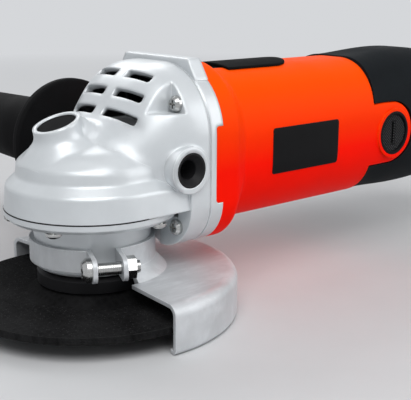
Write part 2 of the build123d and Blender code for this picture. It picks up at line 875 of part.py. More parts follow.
def head_screw_holes(end_x):
    """Bores of the four long screws, from the front to the given station."""
    return [along(head_screw_radius + seat_gap, y, motor_axis_z + z, 0, end_x)
            for y in (-head_screw_y, head_screw_y) for z in (-head_screw_z, head_screw_z)]


def make_gear_housing():
    outline = dome_outline()
    wall = pushed_back(Rot(0, 0, 90) * outline, seam_x)
    body = revolve(outline, Axis.Z) & block((-far, seam_x), (-far, far), (0, far))
    body += [wall, mirror(wall, Plane.XZ)]
    body += hood()
    body += chin()
    body += lock_boss()
    body += across(socket_boss_radius, socket_x, motor_axis_z, -socket_face_y, socket_face_y)
    # gear chamber, pinion tunnel and the air duct behind the deck
    body -= disc(chamber_radius, split_z - overcut, chamber_step_z)
    body -= disc(chamber_inner_radius, split_z - overcut, chamber_top_z)
    body -= along(tunnel_radius, 0, motor_axis_z, tunnel_x, seam_x + overcut)
    body -= air_duct()
    body -= vent_cutters()
    # corner pockets for the upper screws, seats of the handle sockets
    for side in (-1, 1):
        body -= block((-far, screw_pocket_x), beside(side, screw_pocket_y, far),
                      (motor_axis_z + screw_pocket_rise, far))
        body -= across(socket_radius + seat_gap, socket_x, motor_axis_z,
                       *beside(side, socket_face_y - socket_depth, far))
    body -= head_screw_holes(far)
    # seats of the lock button, its pin and the spindle's top bearing
    body -= LOCK_AXIS * disc(lock_radius + lock_side_gap, -lock_bore_depth, far)
    body -= LOCK_AXIS * disc(lock_pin_radius + run_gap, -far, 0)
    body -= disc(tip_radius + top_bearing_wall + seat_gap, split_z, top_bearing_end_z)
    body -= disc(tip_radius + slide_gap, split_z, top_bearing_z + tip_length)
    screw_end_z = split_z + cover_screw_grip + cover_screw_tip_gap
    hole = Pos(cover_screw_circle, 0, 0) * disc(cover_screw_radius + seat_gap, split_z - overcut, screw_end_z)
    return body - around(hole, cover_screw_angles)


# Bearing flange between the gear head and the motor housing
def flange_rib():
    """The flat rib on top of the flange, its ends sloped down to the flange's corners."""
    x = seam_x + seam_width
    top = head_top_z + rib_height
    low = top - rib_height - rib_depth
    ends = Polyline((x, rib_foot_half_width, low), (x, rib_half_width, top), (x, -rib_half_width, top),
                    (x, -rib_foot_half_width, low), close=True)
    rib = pushed_back(make_face(ends), flange_x - x)
    return fillet(rib.faces().sort_by(Axis.Z)[-1].edges(), rib_round)


def notches(gap):
    """Round cornered notches in both sides of the flange, or the tongues that fill them with a gap."""
    half = notch_half_height - gap
    front = flange_x - notch_depth + gap
    found = []
    for side in (-1, 1):
        part = block((front, flange_x + overcut), beside(side, head_half_width - notch_wall + gap, far),
                     about(motor_axis_z, half))
        found.append(fillet(part.edges().filter_by(Axis.Y).group_by(Axis.X)[0], notch_round))
    return found


def make_bearing_flange():
    body = pushed_back(head_section(seam_x, seam_depth), seam_width)
    body += pushed_back(head_section(seam_x + seam_width), flange_thickness - seam_width)
    body += flange_rib()
    seat_end = front_bearing_x + front_bearing_width
    lip_end = seat_end + front_bearing_lip
    body += along(front_bearing_radius + front_bearing_wall, 0, motor_axis_z, flange_x - overcut, lip_end)
    body -= along(front_bearing_radius + seat_gap, 0, motor_axis_z, 0, seat_end)
    body -= along(front_bearing_radius - front_bearing_lip_width, 0, motor_axis_z, 0, lip_end + overcut)
    window = section(0, window_width, window_height, window_corner, motor_axis_z + window_rise)
    body -= pushed_back(window, far)
    return body - notches(0) - head_screw_holes(far)


def make_head_screws():
    one = screw(head_screw_radius, head_screw_length, head_screw_head, head_screw_head_height)
    return Compound(children=[Pos(screw_pocket_x, y, motor_axis_z + z) * Rot(0, -90, 0) * one
                              for y in (-head_screw_y, head_screw_y) for z in (-head_screw_z, head_screw_z)])


# Handle sockets and the side handle
def make_handle_sockets():
    bore = stud_radius + seat_gap
    low = socket_face_y - socket_depth
    bush = turned((bore, low), (socket_radius, low), (socket_radius, socket_face_y),
                  (bore + socket_chamfer, socket_face_y), (bore, socket_face_y - socket_chamfer))
    return mirrored_pair(SOCKET_AXIS * bush)


def make_side_handle_grip():
    bore = stud_radius + seat_gap
    start = socket_face_y + grip_neck_gap
    flange_back = grip_flange_y + grip_flange_thickness
    bore_end = flange_back + stud_grip + stud_tip_gap
    end = grip_flange_y + grip_length
    corners = (
        # radius, place along the handle, rounding of the corner
        (grip_neck_radius, grip_flange_y - 1.0, 3.0),
        (grip_flange_radius, grip_flange_y, 1.5),
        (grip_flange_radius, flange_back, 1.8),
        (grip_radius - grip_waist, flange_back + 5.0, 4.0),
        (grip_radius, flange_back + 32.0, 40.0),
        (grip_radius - grip_hollow, end - 26.0, 30.0),
        (grip_radius + grip_bulge, end - 10.0, 8.0),
        (grip_radius, end, 5.0),
    )
    outside = FilletPolyline((grip_neck_radius, 0, start), *[(r, 0, y) for r, y, _ in corners], (0, 0, end),
                             radius=[rounding for _, _, rounding in corners])
    inside = Polyline((0, 0, end), (0, 0, bore_end), (bore, 0, bore_end), (bore, 0, start),
                      (grip_neck_radius, 0, start))
    return SOCKET_AXIS * revolve(make_face(outside.edges() + inside.edges()), Axis.Z)


def make_side_handle_stud():
    low = socket_face_y - socket_depth + stud_end_gap
    return SOCKET_AXIS * disc(stud_radius, low, grip_flange_y + grip_flange_thickness + stud_grip)


# Spindle lock, in places along its own axis from the middle of the rim
lock_pin_end = lock_travel + lock_pin_stop - (lock_z - crown_web_z) / cos(radians(lock_tilt))
lock_clip_place = (chamber_top_z - lock_z) / cos(radians(lock_tilt)) - lock_clip_width


def make_lock_button():
    cap = LOCK_AXIS * disc(lock_radius, -lock_cap_height, far)
    cap -= LOCK_FACE * disc(far, -lock_face_drop, 2 * far)
    return cap - LOCK_AXIS * disc(lock_pin_radius + seat_gap, -far, -lock_pin_seat)


def make_lock_pin():
    return LOCK_AXIS * disc(lock_pin_radius, lock_pin_end, -lock_pin_seat)


def make_lock_clip():
    clip = ring(lock_pin_radius + lock_clip_width, lock_pin_radius + seat_gap, lock_clip_place,
                lock_clip_place + lock_clip_thickness)
    return LOCK_AXIS * (clip - block((0, far), about(0, lock_clip_mouth / 2), (-far, far)))


def make_lock_spring():
    inner = lock_pin_radius + lock_spring_gap
    return LOCK_AXIS * ring(inner + lock_spring_wall, inner, -lock_bore_depth + seat_gap,
                            -lock_cap_height - seat_gap)


# Wheel guard: a drawn sheet with a rolled lip, a collar and a clamping band
def guard_shell():
    """The plate, wall and lip, as a sheet turned about the spindle."""
    t = guard_sheet
    top = guard_plate_z
    low = guard_lip_z
    lip_radius = guard_radius - guard_lip
    lip_z = low + guard_lip_rise
    start = collar_radius - band_weld
    outside = FilletPolyline((start, 0, top), (guard_radius, 0, top), (guard_radius, 0, low),
                             (lip_radius, 0, lip_z), radius=[guard_corner, guard_lip_corner])
    inside = FilletPolyline((start, 0, top - t), (guard_radius - t, 0, top - t),
                            (guard_radius - t, 0, low + t), (lip_radius, 0, lip_z + t),
                            radius=[guard_corner - t, guard_lip_corner - t])
    ends = [Line(outside @ 0, inside @ 0), Line(outside @ 1, inside @ 1)]
    sheet = make_face(outside.edges() + inside.edges() + ends)
    return revolve(Rot(0, 0, -guard_half_angle) * sheet, Axis.Z, 2 * guard_half_angle)


def guard_collar():
    """The cone that rises from the plate to the band."""
    outer = band_radius + band_sheet
    low = guard_plate_z - guard_sheet
    cone = Polyline((collar_radius, 0, low), (collar_radius, 0, guard_plate_z), (outer, 0, band_z),
                    (outer, 0, band_z + collar_lap), (band_radius, 0, band_z + collar_lap),
                    (band_radius, 0, band_z), (collar_radius - collar_lean, 0, low), close=True)
    return revolve(Rot(0, 0, -collar_half_angle) * make_face(cone), Axis.Z, 2 * collar_half_angle)


def guard_band():
    """The clamping band with its two ears."""
    height = (band_z, band_z + band_height)
    band = ring(band_radius + band_sheet, band_radius, *height)
    band -= AT_CLAMP * block((0, far), about(0, clamp_gap / 2), (0, far))
    ear = block((band_radius - band_gap, ear_radius), (clamp_gap / 2, clamp_gap / 2 + band_sheet), height)
    ear = fillet(ear.edges().filter_by(Axis.Y).group_by(Axis.X)[-1], ear_corner)
    ear -= disc(band_radius, 0, far)
    ear -= across(clamp_screw_radius + clamp_hole_gap, clamp_screw_circle, clamp_z, 0, far)
    return band + AT_CLAMP * ear + AT_CLAMP * mirror(ear, Plane.XZ)


def make_guard():
    return guard_shell() + guard_collar() + guard_band()


def make_guard_clamp_screw():
    grip = clamp_gap + 2 * band_sheet
    one = screw(clamp_screw_radius, grip + clamp_screw_tail, clamp_screw_head, clamp_screw_head_height)
    return AT_CLAMP * Pos(clamp_screw_circle, -grip / 2, clamp_z) * Rot(90, 0, 0) * one


def make_guard_clamp_nut():
    nut = extrude(RegularPolygon(clamp_nut_radius, 6), clamp_nut_height)
    nut -= disc(clamp_screw_radius + seat_gap, -far, far)
    return AT_CLAMP * Pos(clamp_screw_circle, clamp_gap / 2 + band_sheet, clamp_z) * Rot(-90, 0, 0) * nut


# Motor housing
def tube_section(x, grow=0.0):
    """The outline of the housing's grip at station x, or one that lies outside it."""
    return barrel_section(x, tube_width / 2 + grow, tube_top_z - tube_height - grow, tube_top_z + grow,
                          tube_corner + grow, tube_corner + grow)


def joint_face(gap):
    """A bowed cutter: what lies behind the joint between the housing and the rear handle."""
    middle_x = housing_end_x + gap + joint_bow_radius
    return across(joint_bow_radius, middle_x, motor_axis_z, -far, far)


def lobe(grow, inner_y, outer_y):
    """The near side lobe that carries a brush, grown all round by the given amount."""
    radius = lobe_radius + grow
    root = block((housing_end_x - lobe_root, lobe_x), (-outer_y, -inner_y), about(motor_axis_z, radius))
    return root + across(radius, lobe_x, motor_axis_z, -outer_y, -inner_y)


def on_lobe_rim(point):
    """Whether a point lies on the outer rim of the near side lobe."""
    past = max(0.0, point.X - lobe_x)
    reach = hypot(past, point.Z - motor_axis_z)
    return abs(reach - lobe_radius) < seat_gap and point.Y < -tube_width / 2 + lobe_root


def track_plan(grow):
    """The switch track seen from above: a wedge ahead of the pad, a round end behind it."""
    half = track_half_width + grow
    wide = track_front_half_width + grow
    waist = track_waist_x
    wedge = Polyline((flange_x, wide), (flange_x, -wide), (waist, -half), (waist, half), close=True)
    return make_face(wedge) + round_ended(waist, pad_x + pad_length + track_tail + grow, half)


def stem_slot(low, high):
    """The slot that the slider's stem passes through, as long as its travel."""
    return block((stem_x - switch_travel - stem_end_gap, stem_x + stem_length + stem_end_gap),
                 about(0, stem_half_width + slide_gap), (low, high))


def holder_block(wall, inner_y, outer_y):
    """The near side space of a brush, with a wall of the given thickness round it."""
    return block(about(lobe_x, brush_width / 2 + wall), (-outer_y, -inner_y),
                 about(motor_axis_z, brush_height / 2 + wall))


def make_motor_housing():
    flare = pushed_back(head_section(flange_x), flare_length)
    slope = loft([head_section(slope_x), tube_section(tube_x)], ruled=True)
    tube = pushed_back(tube_section(tube_x), housing_end_x + joint_bow_depth - tube_x) - joint_face(0)
    body = flare + slope + tube
    body = fillet(body.edges().filter_by_position(Axis.X, slope_x, slope_x), flare_round)
    body = fillet(body.edges().filter_by_position(Axis.X, tube_x, tube_x), flare_foot_round)
    tongue = pushed_back(head_section(flange_x - notch_depth), notch_depth + overcut)
    for part in notches(notch_gap):
        body += tongue & part
    body += along(skeleton_radius, 0, motor_axis_z, housing_end_x - lobe_root, rear_wall_end_x)
    lobe_face_y = tube_width / 2
    near = lobe(0, lobe_face_y - lobe_depth, lobe_face_y + overcut)
    near &= pushed_back(tube_section(housing_end_x - lobe_root), far)
    near = fillet([e for e in near.edges() if on_lobe_rim(e @ 0.5)], lobe_round)
    near += across(cap_radius + cap_ring, lobe_x, motor_axis_z, -lobe_face_y - cap_ring_height, -lobe_face_y)
    body += near
    body += mirror(near, Plane.XZ)
    # fan chamber, stator bore, brush chamber, rear bearing seat
    body -= along(fan_chamber_radius, 0, motor_axis_z, 0, fan_step_x)
    body -= along(stator_radius + seat_gap, 0, motor_axis_z, 0, housing_end_x - stator_stop)
    body -= along(skeleton_radius - housing_wall, 0, motor_axis_z, 0, rear_wall_x)
    body -= along(rear_bearing_radius + sleeve_wall + seat_gap, 0, motor_axis_z,
                  rear_bearing_x - sleeve_rim, far)
    body -= along(rear_bearing_radius - rear_bearing_lip, 0, motor_axis_z, 0, far)
    # brush holder windows and cap recesses
    window = holder_block(holder_wall + seat_gap, 0, cap_y + overcut)
    recess = across(cap_radius + cap_gap, lobe_x, motor_axis_z, -far, -cap_y)
    body -= [window, mirror(window, Plane.XZ), recess, mirror(recess, Plane.XZ)]
    body -= head_screw_holes(screw_pocket_x + head_screw_length + head_screw_tip_gap)
    # switch: track recess, stem slot and the channel of the rod
    body -= Pos(0, 0, track_floor_z) * extrude(track_plan(seat_gap), far)
    channel_z = rod_z - rod_channel_depth
    body -= stem_slot(channel_z, far)
    body -= block((stem_x - switch_travel - stem_end_gap, far), about(0, stem_half_width + slide_gap),
                  (channel_z, rod_z + rod_height + slide_gap))
    return body


# Slide switch
def make_switch_track():
    body = Pos(0, 0, track_floor_z) * extrude(track_plan(0), far)
    end = pad_x + pad_length + far
    side = Polyline((flange_x, 0, track_floor_z), (flange_x, 0, head_top_z - track_front_drop),
                    (flange_x + track_ramp, 0, track_z), (end, 0, track_z), (end, 0, track_floor_z),
                    close=True)
    body &= extrude(make_face(side), far, both=True)
    return body - stem_slot(0, far)


def make_switch_slider():
    end = pad_x + pad_length
    crown_z = tube_top_z + pad_rise
    pad = Pos(0, 0, motor_axis_z) * extrude(round_ended(pad_x, end, pad_half_width), far)
    pad &= along(pad_crown_radius, 0, crown_z - pad_crown_radius, pad_x, end)
    pad -= pushed_back(tube_section(0, pad_gap), far)
    pad = fillet(pad.faces().sort_by(Axis.Z)[-1].edges(), pad_round)
    stem = block((stem_x, stem_x + stem_length), about(0, stem_half_width),
                 (rod_z + rod_height, tube_top_z + 2 * pad_gap))
    return pad + stem


def make_switch_rod():
    thickness, depth = rod_foot
    end = module_x - holder_end_gap
    rod = block((stem_x, end), about(0, rod_half_width), (rod_z, rod_z + rod_height))
    return rod + block((end - thickness, end), about(0, rod_half_width), (rod_z - depth, rod_z))


def make_switch_module():
    start = module_x + plunger_length
    body = block((start, start + module_length), about(0, module_half_width), (module_low_z, module_high_z))
    low = rod_z - plunger_drop
    return body + block((module_x, start), about(0, plunger_half_width), (low, low + plunger_height))


# Armature, in places along the motor's axis
def make_armature_shaft():
    start = crown_pitch_radius * toe_share - shaft_lead
    shoulder = rear_bearing_x - rear_journal_gap
    end = rear_bearing_x + rear_bearing_width + shaft_tail
    step = fan_step_x - shaft_step
    return MOTOR_AXIS * turned((0, start), (pinion_bore_radius, start), (pinion_bore_radius, pinion_back_x),
                               (front_journal_radius, pinion_back_x), (front_journal_radius, step),
                               (shaft_radius, step), (shaft_radius, shoulder),
                               (rear_journal_radius, shoulder), (rear_journal_radius, end), (0, end))


def make_pinion_nut():
    nut = extrude(RegularPolygon(pinion_nut_radius, 6), pinion_nut_height)
    nut -= disc(pinion_bore_radius + seat_gap, -far, far)
    return MOTOR_AXIS * Pos(0, 0, pinion_toe_x - pinion_nut_height) * nut


def slot_bars(width, inner, outer, low, high):
    """Bars that fill the armature's winding slots, about Z."""
    return evenly(block((inner, outer), about(0, width / 2), (low, high)), core_slots)


def make_armature_core():
    low = core_x - overcut
    high = core_x + core_length + overcut
    roof = core_radius - core_slot_roof
    body = ring(core_radius, shaft_radius + seat_gap, core_x, core_x + core_length)
    body -= slot_bars(core_slot_width, core_slot_radius, roof, low, high)
    body -= slot_bars(core_mouth_width, roof - overcut, core_radius + overcut, low, high)
    return MOTOR_AXIS * body


def make_armature_winding():
    end = core_x + core_length
    bore = shaft_radius + seat_gap
    front = turned((bore, core_x - winding_front[1]), (winding_inner_radius, core_x - winding_front[1]),
                   (winding_radius, core_x - winding_front[0]), (winding_radius, core_x - seat_gap),
                   (bore, core_x - seat_gap))
    rear = turned((bore, end + seat_gap), (winding_radius, end + seat_gap),
                  (winding_radius, end + winding_rear[0]), (winding_inner_radius, end + winding_rear[1]),
                  (bore, end + winding_rear[1]))
    bars = slot_bars(core_slot_width - 2 * winding_gap, core_slot_radius + winding_gap,
                     core_radius - core_slot_roof - 2 * winding_gap, core_x - overcut, end + overcut)
    return MOTOR_AXIS * (front + rear + bars)


def make_commutator():
    low = commutator_x
    high = commutator_x + commutator_length
    bore = shaft_radius + seat_gap
    riser = commutator_radius + commutator_flange
    body = turned((bore, low), (riser, low), (riser, low + commutator_flange_width),
                  (commutator_radius, low + commutator_flange_width), (commutator_radius, high), (bore, high))
    cut = block((commutator_radius - commutator_cut_depth, far), about(0, commutator_cut_width / 2), (0, far))
    return MOTOR_AXIS * (body - evenly(cut, commutator_bars))


def make_cooling_fan():
    back = fan_x + fan_width
    hub = ring(fan_hub_radius, front_journal_radius + seat_gap, fan_x, back)
    plate = ring(fan_radius, fan_hub_radius - overcut, back - fan_plate, back)
    blade = block((fan_blade_start, fan_blade_length), about(0, fan_blade_thickness / 2),
                  (fan_x, back - fan_plate / 2))
    blade = Pos(fan_hub_radius, 0, 0) * Rot(0, 0, fan_blade_sweep) * blade
    return MOTOR_AXIS * (hub + plate + evenly(blade, fan_blades))


# Stator and the motor's bearings
def make_fan_baffle():
    return MOTOR_AXIS * ring(fan_chamber_radius - seat_gap, baffle_bore_radius,
                             fan_step_x - baffle_thickness, fan_step_x)


def make_armature_front_bearing():
    body = bearing(front_bearing_radius, front_journal_radius + run_gap, front_bearing_width)
    return MOTOR_AXIS * Pos(0, 0, front_bearing_x) * body


def make_armature_rear_bearing():
    body = bearing(rear_bearing_radius, rear_journal_radius + run_gap, rear_bearing_width)
    return MOTOR_AXIS * Pos(0, 0, rear_bearing_x) * body


def make_rear_bearing_sleeve():
    return MOTOR_AXIS * ring(rear_bearing_radius + sleeve_wall, rear_bearing_radius + seat_gap,
                             rear_bearing_x - sleeve_rim, rear_bearing_x + rear_bearing_width)


def make_stator_core():
    body = MOTOR_AXIS * ring(stator_radius, stator_bore_radius, stator_x, stator_x + stator_length)
    for up in (-1, 1):
        for side in (-1, 1):
            low, high = beside(up, coil_low - coil_gap, coil_high + coil_gap)
            body -= block((0, far), beside(side, coil_inner_y - coil_gap, coil_outer_y + coil_gap),
                          (motor_axis_z + low, motor_axis_z + high))
    return body


def make_field_coils():
    start = stator_x - coil_end_gap
    end = stator_x + stator_length + coil_end_gap
    coils = []
    for up in (-1, 1):
        low, high = beside(up, coil_low, coil_high)
        coil = block((start - coil_end, end + coil_end), about(0, coil_outer_y),
                     (motor_axis_z + low, motor_axis_z + high))
        coil = fillet(coil.edges().filter_by(Axis.Z), coil_round)
        coils.append(coil - block((start, end), about(0, coil_inner_y), (0, far)))
    return Compound(children=coils)


# Brushes, on the near side and mirrored to the far side
def make_brush_holders():
    outer = holder_block(holder_wall, holder_y, cap_y - holder_end_gap)
    return mirrored_pair(outer - holder_block(brush_gap, 0, far))


def make_carbon_brushes():
    brush = holder_block(0, 0, brush_end_y)
    return mirrored_pair(brush - along(commutator_radius + run_gap, 0, motor_axis_z, 0, far))


def make_brush_springs():
    spring = across(brush_spring_radius, lobe_x, motor_axis_z, -cap_y + seat_gap, -brush_end_y - seat_gap)
    bore = across(brush_spring_radius - brush_spring_wall, lobe_x, motor_axis_z, -far, 0)
    return mirrored_pair(spring - bore)


def make_brush_caps():
    face_y = -cap_y - cap_height + cap_proud
    cap = across(cap_radius, lobe_x, motor_axis_z, face_y, -cap_y)
    cap = fillet(cap.edges().group_by(Axis.Y)[0], cap_round)
    cap -= block(about(lobe_x, cap_slot_width / 2), (-far, face_y + cap_slot_depth),
                 about(motor_axis_z, cap_slot_length / 2))
    return mirrored_pair(cap)


# Rear handle
def handle_form(inset, shorten):
    """The handle's outer form, or its hollow when drawn in by an inset and shortened at the end."""
    scale = (handle_length - shorten) / handle_length
    start = housing_end_x + handle_joint_gap
    return loft([section(start + place * scale, width - 2 * inset, height - 2 * inset, corner - inset,
                         motor_axis_z + up)
                 for place, width, height, corner, up in handle_stations])


def intake_cutters():
    """Air slots through both side walls, behind the motor."""
    slot = Rot(90, 0, 0) * extrude(SlotOverall(intake_height, intake_width, rotation=90), far, both=True)
    slot -= block((-far, far), about(0, intake_inner_y), (-far, far))
    return [Pos(rear_wall_end_x + intake_offset + i * intake_pitch, 0, motor_axis_z - intake_drop) * slot
            for i in range(intake_slots)]


def switch_shelf():
    """Ribs from both side walls that hold the switch."""
    start = module_x + plunger_length
    rib = block((start + shelf_inset, start + module_length - shelf_inset), (-far, far),
                (module_low_z + shelf_inset, module_high_z - shelf_inset))
    rib &= handle_form(handle_wall / 2, handle_end_wall)
    return rib - block((0, far), about(0, module_half_width + slide_gap / 4), (0, far))


def rear_handle_half(side):
    shell = handle_form(0, handle_joint_gap) - handle_form(handle_wall, handle_end_wall)
    shell -= pushed_back(section(0, *handle_mouth, motor_axis_z + handle_stations[0][-1]),
                         housing_end_x + handle_mouth_depth)
    shell &= joint_face(handle_joint_gap)
    for x, up in handle_screw_places:
        shell += across(handle_boss_radius, x, motor_axis_z + up, -handle_boss_reach, handle_boss_reach)
    shell += switch_shelf()
    for x, up in handle_screw_places:
        shell -= across(handle_screw_radius + seat_gap, x, motor_axis_z + up, -far, handle_bore_end_y)
        shell -= across(handle_screw_head + slide_gap / 2, x, motor_axis_z + up, -far, -handle_screw_y)
    shell -= along(gland_radius + seat_gap, 0, gland_z, handle_end_x - gland_length, far)
    near = lobe(fit_gap, 0, far)
    shell -= [near, mirror(near, Plane.XZ)]
    shell -= along(skeleton_radius + fit_gap, 0, motor_axis_z, 0, rear_wall_end_x + fit_gap)
    shell -= intake_cutters()
    return shell & block((0, far), beside(side, handle_split_gap, far), (-far, far))


def make_rear_handle_screws():
    one = screw(handle_screw_radius, handle_screw_length, handle_screw_head, handle_screw_head_height)
    return Compound(children=[Pos(x, -handle_screw_y, motor_axis_z + up) * Rot(90, 0, 0) * one
                              for x, up in handle_screw_places])


def make_cord_gland():
    start = handle_end_x - gland_length
    collar = gland_radius + gland_collar
    collar_end = handle_end_x + gland_collar_width
    nose = collar_end + gland_nose
    return Location((0, 0, gland_z), (0, 90, 0)) * turned(
        (cord_radius, start), (gland_radius, start), (gland_radius, handle_end_x), (collar, handle_end_x),
        (collar, collar_end), (gland_radius - gland_nose / 2, nose), (cord_radius, nose))


PARTS = {
    "gear_housing": make_gear_housing,
    "bearing_flange": make_bearing_flange,
    "gearbox_cover": make_gearbox_cover,
    "cover_screws": make_cover_screws,
    "head_screws": make_head_screws,
    "handle_sockets": make_handle_sockets,
    "spindle_main_bearing": make_spindle_main_bearing,
    "spindle_top_bearing": make_spindle_top_bearing,
    "bearing_retainer": make_bearing_retainer,
    "dust_seal": make_dust_seal,
    "side_handle_grip": make_side_handle_grip,
    "side_handle_stud": make_side_handle_stud,
    "motor_housing": make_motor_housing,
    "switch_track": make_switch_track,
    "switch_module": make_switch_module,
    "armature_front_bearing": make_armature_front_bearing,
    "armature_rear_bearing": make_armature_rear_bearing,
    "rear_bearing_sleeve": make_rear_bearing_sleeve,
    "stator_core": make_stator_core,
    "field_coils": make_field_coils,
    "fan_baffle": make_fan_baffle,
    "brush_holders": make_brush_holders,
    "carbon_brushes": make_carbon_brushes,
    "brush_springs": make_brush_springs,
    "brush_caps": make_brush_caps,
    "rear_handle_left": lambda: rear_handle_half(-1),
    "rear_handle_right": lambda: rear_handle_half(1),
    "rear_handle_screws": make_rear_handle_screws,
    "cord_gland": make_cord_gland,
    "armature_shaft": make_armature_shaft,
    "armature_core": make_armature_core,
    "armature_winding": make_armature_winding,
    "commutator": make_commutator,
    "cooling_fan": make_cooling_fan,
    "drive_pinion": make_drive_pinion,
    "pinion_nut": make_pinion_nut,
    "spindle": make_spindle,
    "crown_gear": make_crown_gear,
    "woodruff_key": make_woodruff_key,
    "gear_clip": make_gear_clip,
    "inner_flange": make_inner_flange,
    "grinding_disc": make_grinding_disc,
    "clamp_nut": make_clamp_nut,
    "guard": make_guard,
    "guard_clamp_screw": make_guard_clamp_screw,
    "guard_clamp_nut": make_guard_clamp_nut,
    "lock_button": make_lock_button,
    "lock_pin": make_lock_pin,
    "lock_clip": make_lock_clip,
    "lock_spring": make_lock_spring,
    "switch_slider": make_switch_slider,
    "switch_rod": make_switch_rod,
}

os.makedirs("parts", exist_ok=True)
for name, make in PARTS.items():
    export_step(make(), f"parts/{name}.step")
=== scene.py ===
# %% [markdown]
# An angle grinder is a gear head, a motor and a handle in one line, with a wheel under the head.
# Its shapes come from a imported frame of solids, one for each real piece, so this script moves
# nothing. It gives every piece its finish, adds the small pieces that are easier to make as
# meshes, and sets up a studio with the camera where the photograph was taken.

# %% Load the frame
import json
import math
import bpy
from mathutils import Matrix, Vector


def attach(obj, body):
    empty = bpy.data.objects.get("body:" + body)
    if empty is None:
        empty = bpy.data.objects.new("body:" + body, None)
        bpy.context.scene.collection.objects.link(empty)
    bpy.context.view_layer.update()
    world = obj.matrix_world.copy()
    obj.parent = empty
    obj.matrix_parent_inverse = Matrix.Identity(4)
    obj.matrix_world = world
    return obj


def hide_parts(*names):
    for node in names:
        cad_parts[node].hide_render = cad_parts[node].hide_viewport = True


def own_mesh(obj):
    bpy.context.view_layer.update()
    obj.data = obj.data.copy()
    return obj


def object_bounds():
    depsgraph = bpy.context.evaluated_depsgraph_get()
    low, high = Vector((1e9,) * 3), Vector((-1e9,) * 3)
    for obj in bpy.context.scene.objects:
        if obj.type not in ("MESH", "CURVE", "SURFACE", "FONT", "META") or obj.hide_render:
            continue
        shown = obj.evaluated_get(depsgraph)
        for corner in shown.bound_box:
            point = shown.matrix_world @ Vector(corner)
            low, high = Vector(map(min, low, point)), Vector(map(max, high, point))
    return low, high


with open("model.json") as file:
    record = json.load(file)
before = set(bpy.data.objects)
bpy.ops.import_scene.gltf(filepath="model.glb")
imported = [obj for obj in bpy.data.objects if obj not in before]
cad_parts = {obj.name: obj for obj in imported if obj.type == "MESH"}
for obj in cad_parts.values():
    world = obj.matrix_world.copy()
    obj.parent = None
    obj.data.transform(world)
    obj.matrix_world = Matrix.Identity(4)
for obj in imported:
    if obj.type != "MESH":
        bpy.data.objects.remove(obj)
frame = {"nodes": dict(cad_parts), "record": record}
cad_low, cad_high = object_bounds()
MM = 0.001
print("nodes", len(frame["nodes"]), "box", [round(v, 4) for v in cad_high - cad_low])

# %% [markdown]
# The camera comes first, because everything is judged from it. The place, the angle and the lens
# were fitted to points that the photograph and the solids share. Three unit vectors, to the
# right, up and back, are the columns of the camera's matrix.

# %% Camera
photo_width = 411
photo_focal = 894.36                      # focal length, in pixels of the photograph
camera_turn, camera_tilt, camera_roll = (math.radians(a) for a in (40.755, 14.134, 0.278))
camera_place = Vector((-0.2006, -0.3056, 0.1362))

forward = Vector((math.sin(camera_turn) * math.cos(camera_tilt),
                  math.cos(camera_turn) * math.cos(camera_tilt), -math.sin(camera_tilt)))
level = Vector((math.cos(camera_turn), -math.sin(camera_turn), 0))
upright = level.cross(forward)
right = level * math.cos(camera_roll) + upright * math.sin(camera_roll)
above = upright * math.cos(camera_roll) - level * math.sin(camera_roll)

camera = bpy.data.objects.new("camera", bpy.data.cameras.new("camera"))
camera.data.sensor_width = 36.0
camera.data.lens = photo_focal * camera.data.sensor_width / photo_width
camera.data.clip_start = 0.01
camera_axes = Matrix((right, above, -forward)).transposed()
camera.matrix_world = Matrix.Translation(camera_place) @ camera_axes.to_4x4()
bpy.context.scene.collection.objects.link(camera)
bpy.context.scene.camera = camera
print("lens", round(camera.data.lens, 2), "mm")

# %% [markdown]
# A studio is a pale floor and a few large soft lamps. One big lamp above and to the left gives
# the broad highlights on the dome and along the housing, a weaker one from the right keeps the
# shadows open, and one behind draws the upper edges. The world is pale for the camera and for
# reflections, and dimmer as a light, so the object isn't flattened.

# %% Studio
def add_node(tree, kind, **values):
    """A node whose own settings and input sockets are given by name."""
    node = tree.nodes.new(kind)
    for key, value in values.items():
        if hasattr(node, key):
            setattr(node, key, value)
        else:
            node.inputs[key.replace("_", " ")].default_value = value
    return node


def soft_lamp(name, place, aim, size, watts):
    lamp = bpy.data.objects.new(name, bpy.data.lights.new(name, "AREA"))
    lamp.data.shape = "RECTANGLE"
    lamp.data.size, lamp.data.size_y = size
    lamp.data.energy = watts
    lamp.location = place
    lamp.rotation_euler = (Vector(aim) - Vector(place)).to_track_quat("-Z", "Y").to_euler()
    bpy.context.scene.collection.objects.link(lamp)


middle = Vector((0.06, 0.0, 0.055))
soft_lamp("lamp_key", (-0.35, -0.55, 0.95), middle, (0.8, 0.8), 9.0)
soft_lamp("lamp_fill", (0.75, -0.75, 0.45), middle, (0.8, 0.8), 4.0)
soft_lamp("lamp_rim", (0.25, 0.8, 0.8), middle, (0.9, 0.5), 4.0)

backdrop_colour = (0.95, 0.97, 1.0, 1.0)
backdrop_lit, backdrop_seen = 0.3, 0.7    # strength as a light, and as the camera sees it

world = bpy.data.worlds.new("studio")
world.use_nodes = True
sky = world.node_tree
sky.nodes.clear()
path = add_node(sky, "ShaderNodeLightPath")
seen = add_node(sky, "ShaderNodeMath", operation="MAXIMUM")
seen_through = add_node(sky, "ShaderNodeMath", operation="MAXIMUM")
sky.links.new(path.outputs["Is Camera Ray"], seen.inputs[0])
sky.links.new(path.outputs["Is Glossy Ray"], seen.inputs[1])
sky.links.new(seen.outputs[0], seen_through.inputs[0])
sky.links.new(path.outputs["Is Transmission Ray"], seen_through.inputs[1])
strength = add_node(sky, "ShaderNodeMapRange", To_Min=backdrop_lit, To_Max=backdrop_seen)
sky.links.new(seen_through.outputs[0], strength.inputs["Value"])
backdrop = add_node(sky, "ShaderNodeBackground", Color=backdrop_colour)
sky.links.new(strength.outputs[0], backdrop.inputs["Strength"])
sky.links.new(backdrop.outputs[0], add_node(sky, "ShaderNodeOutputWorld").inputs["Surface"])
bpy.context.scene.world = world
bpy.context.scene.view_settings.view_transform = "Standard"

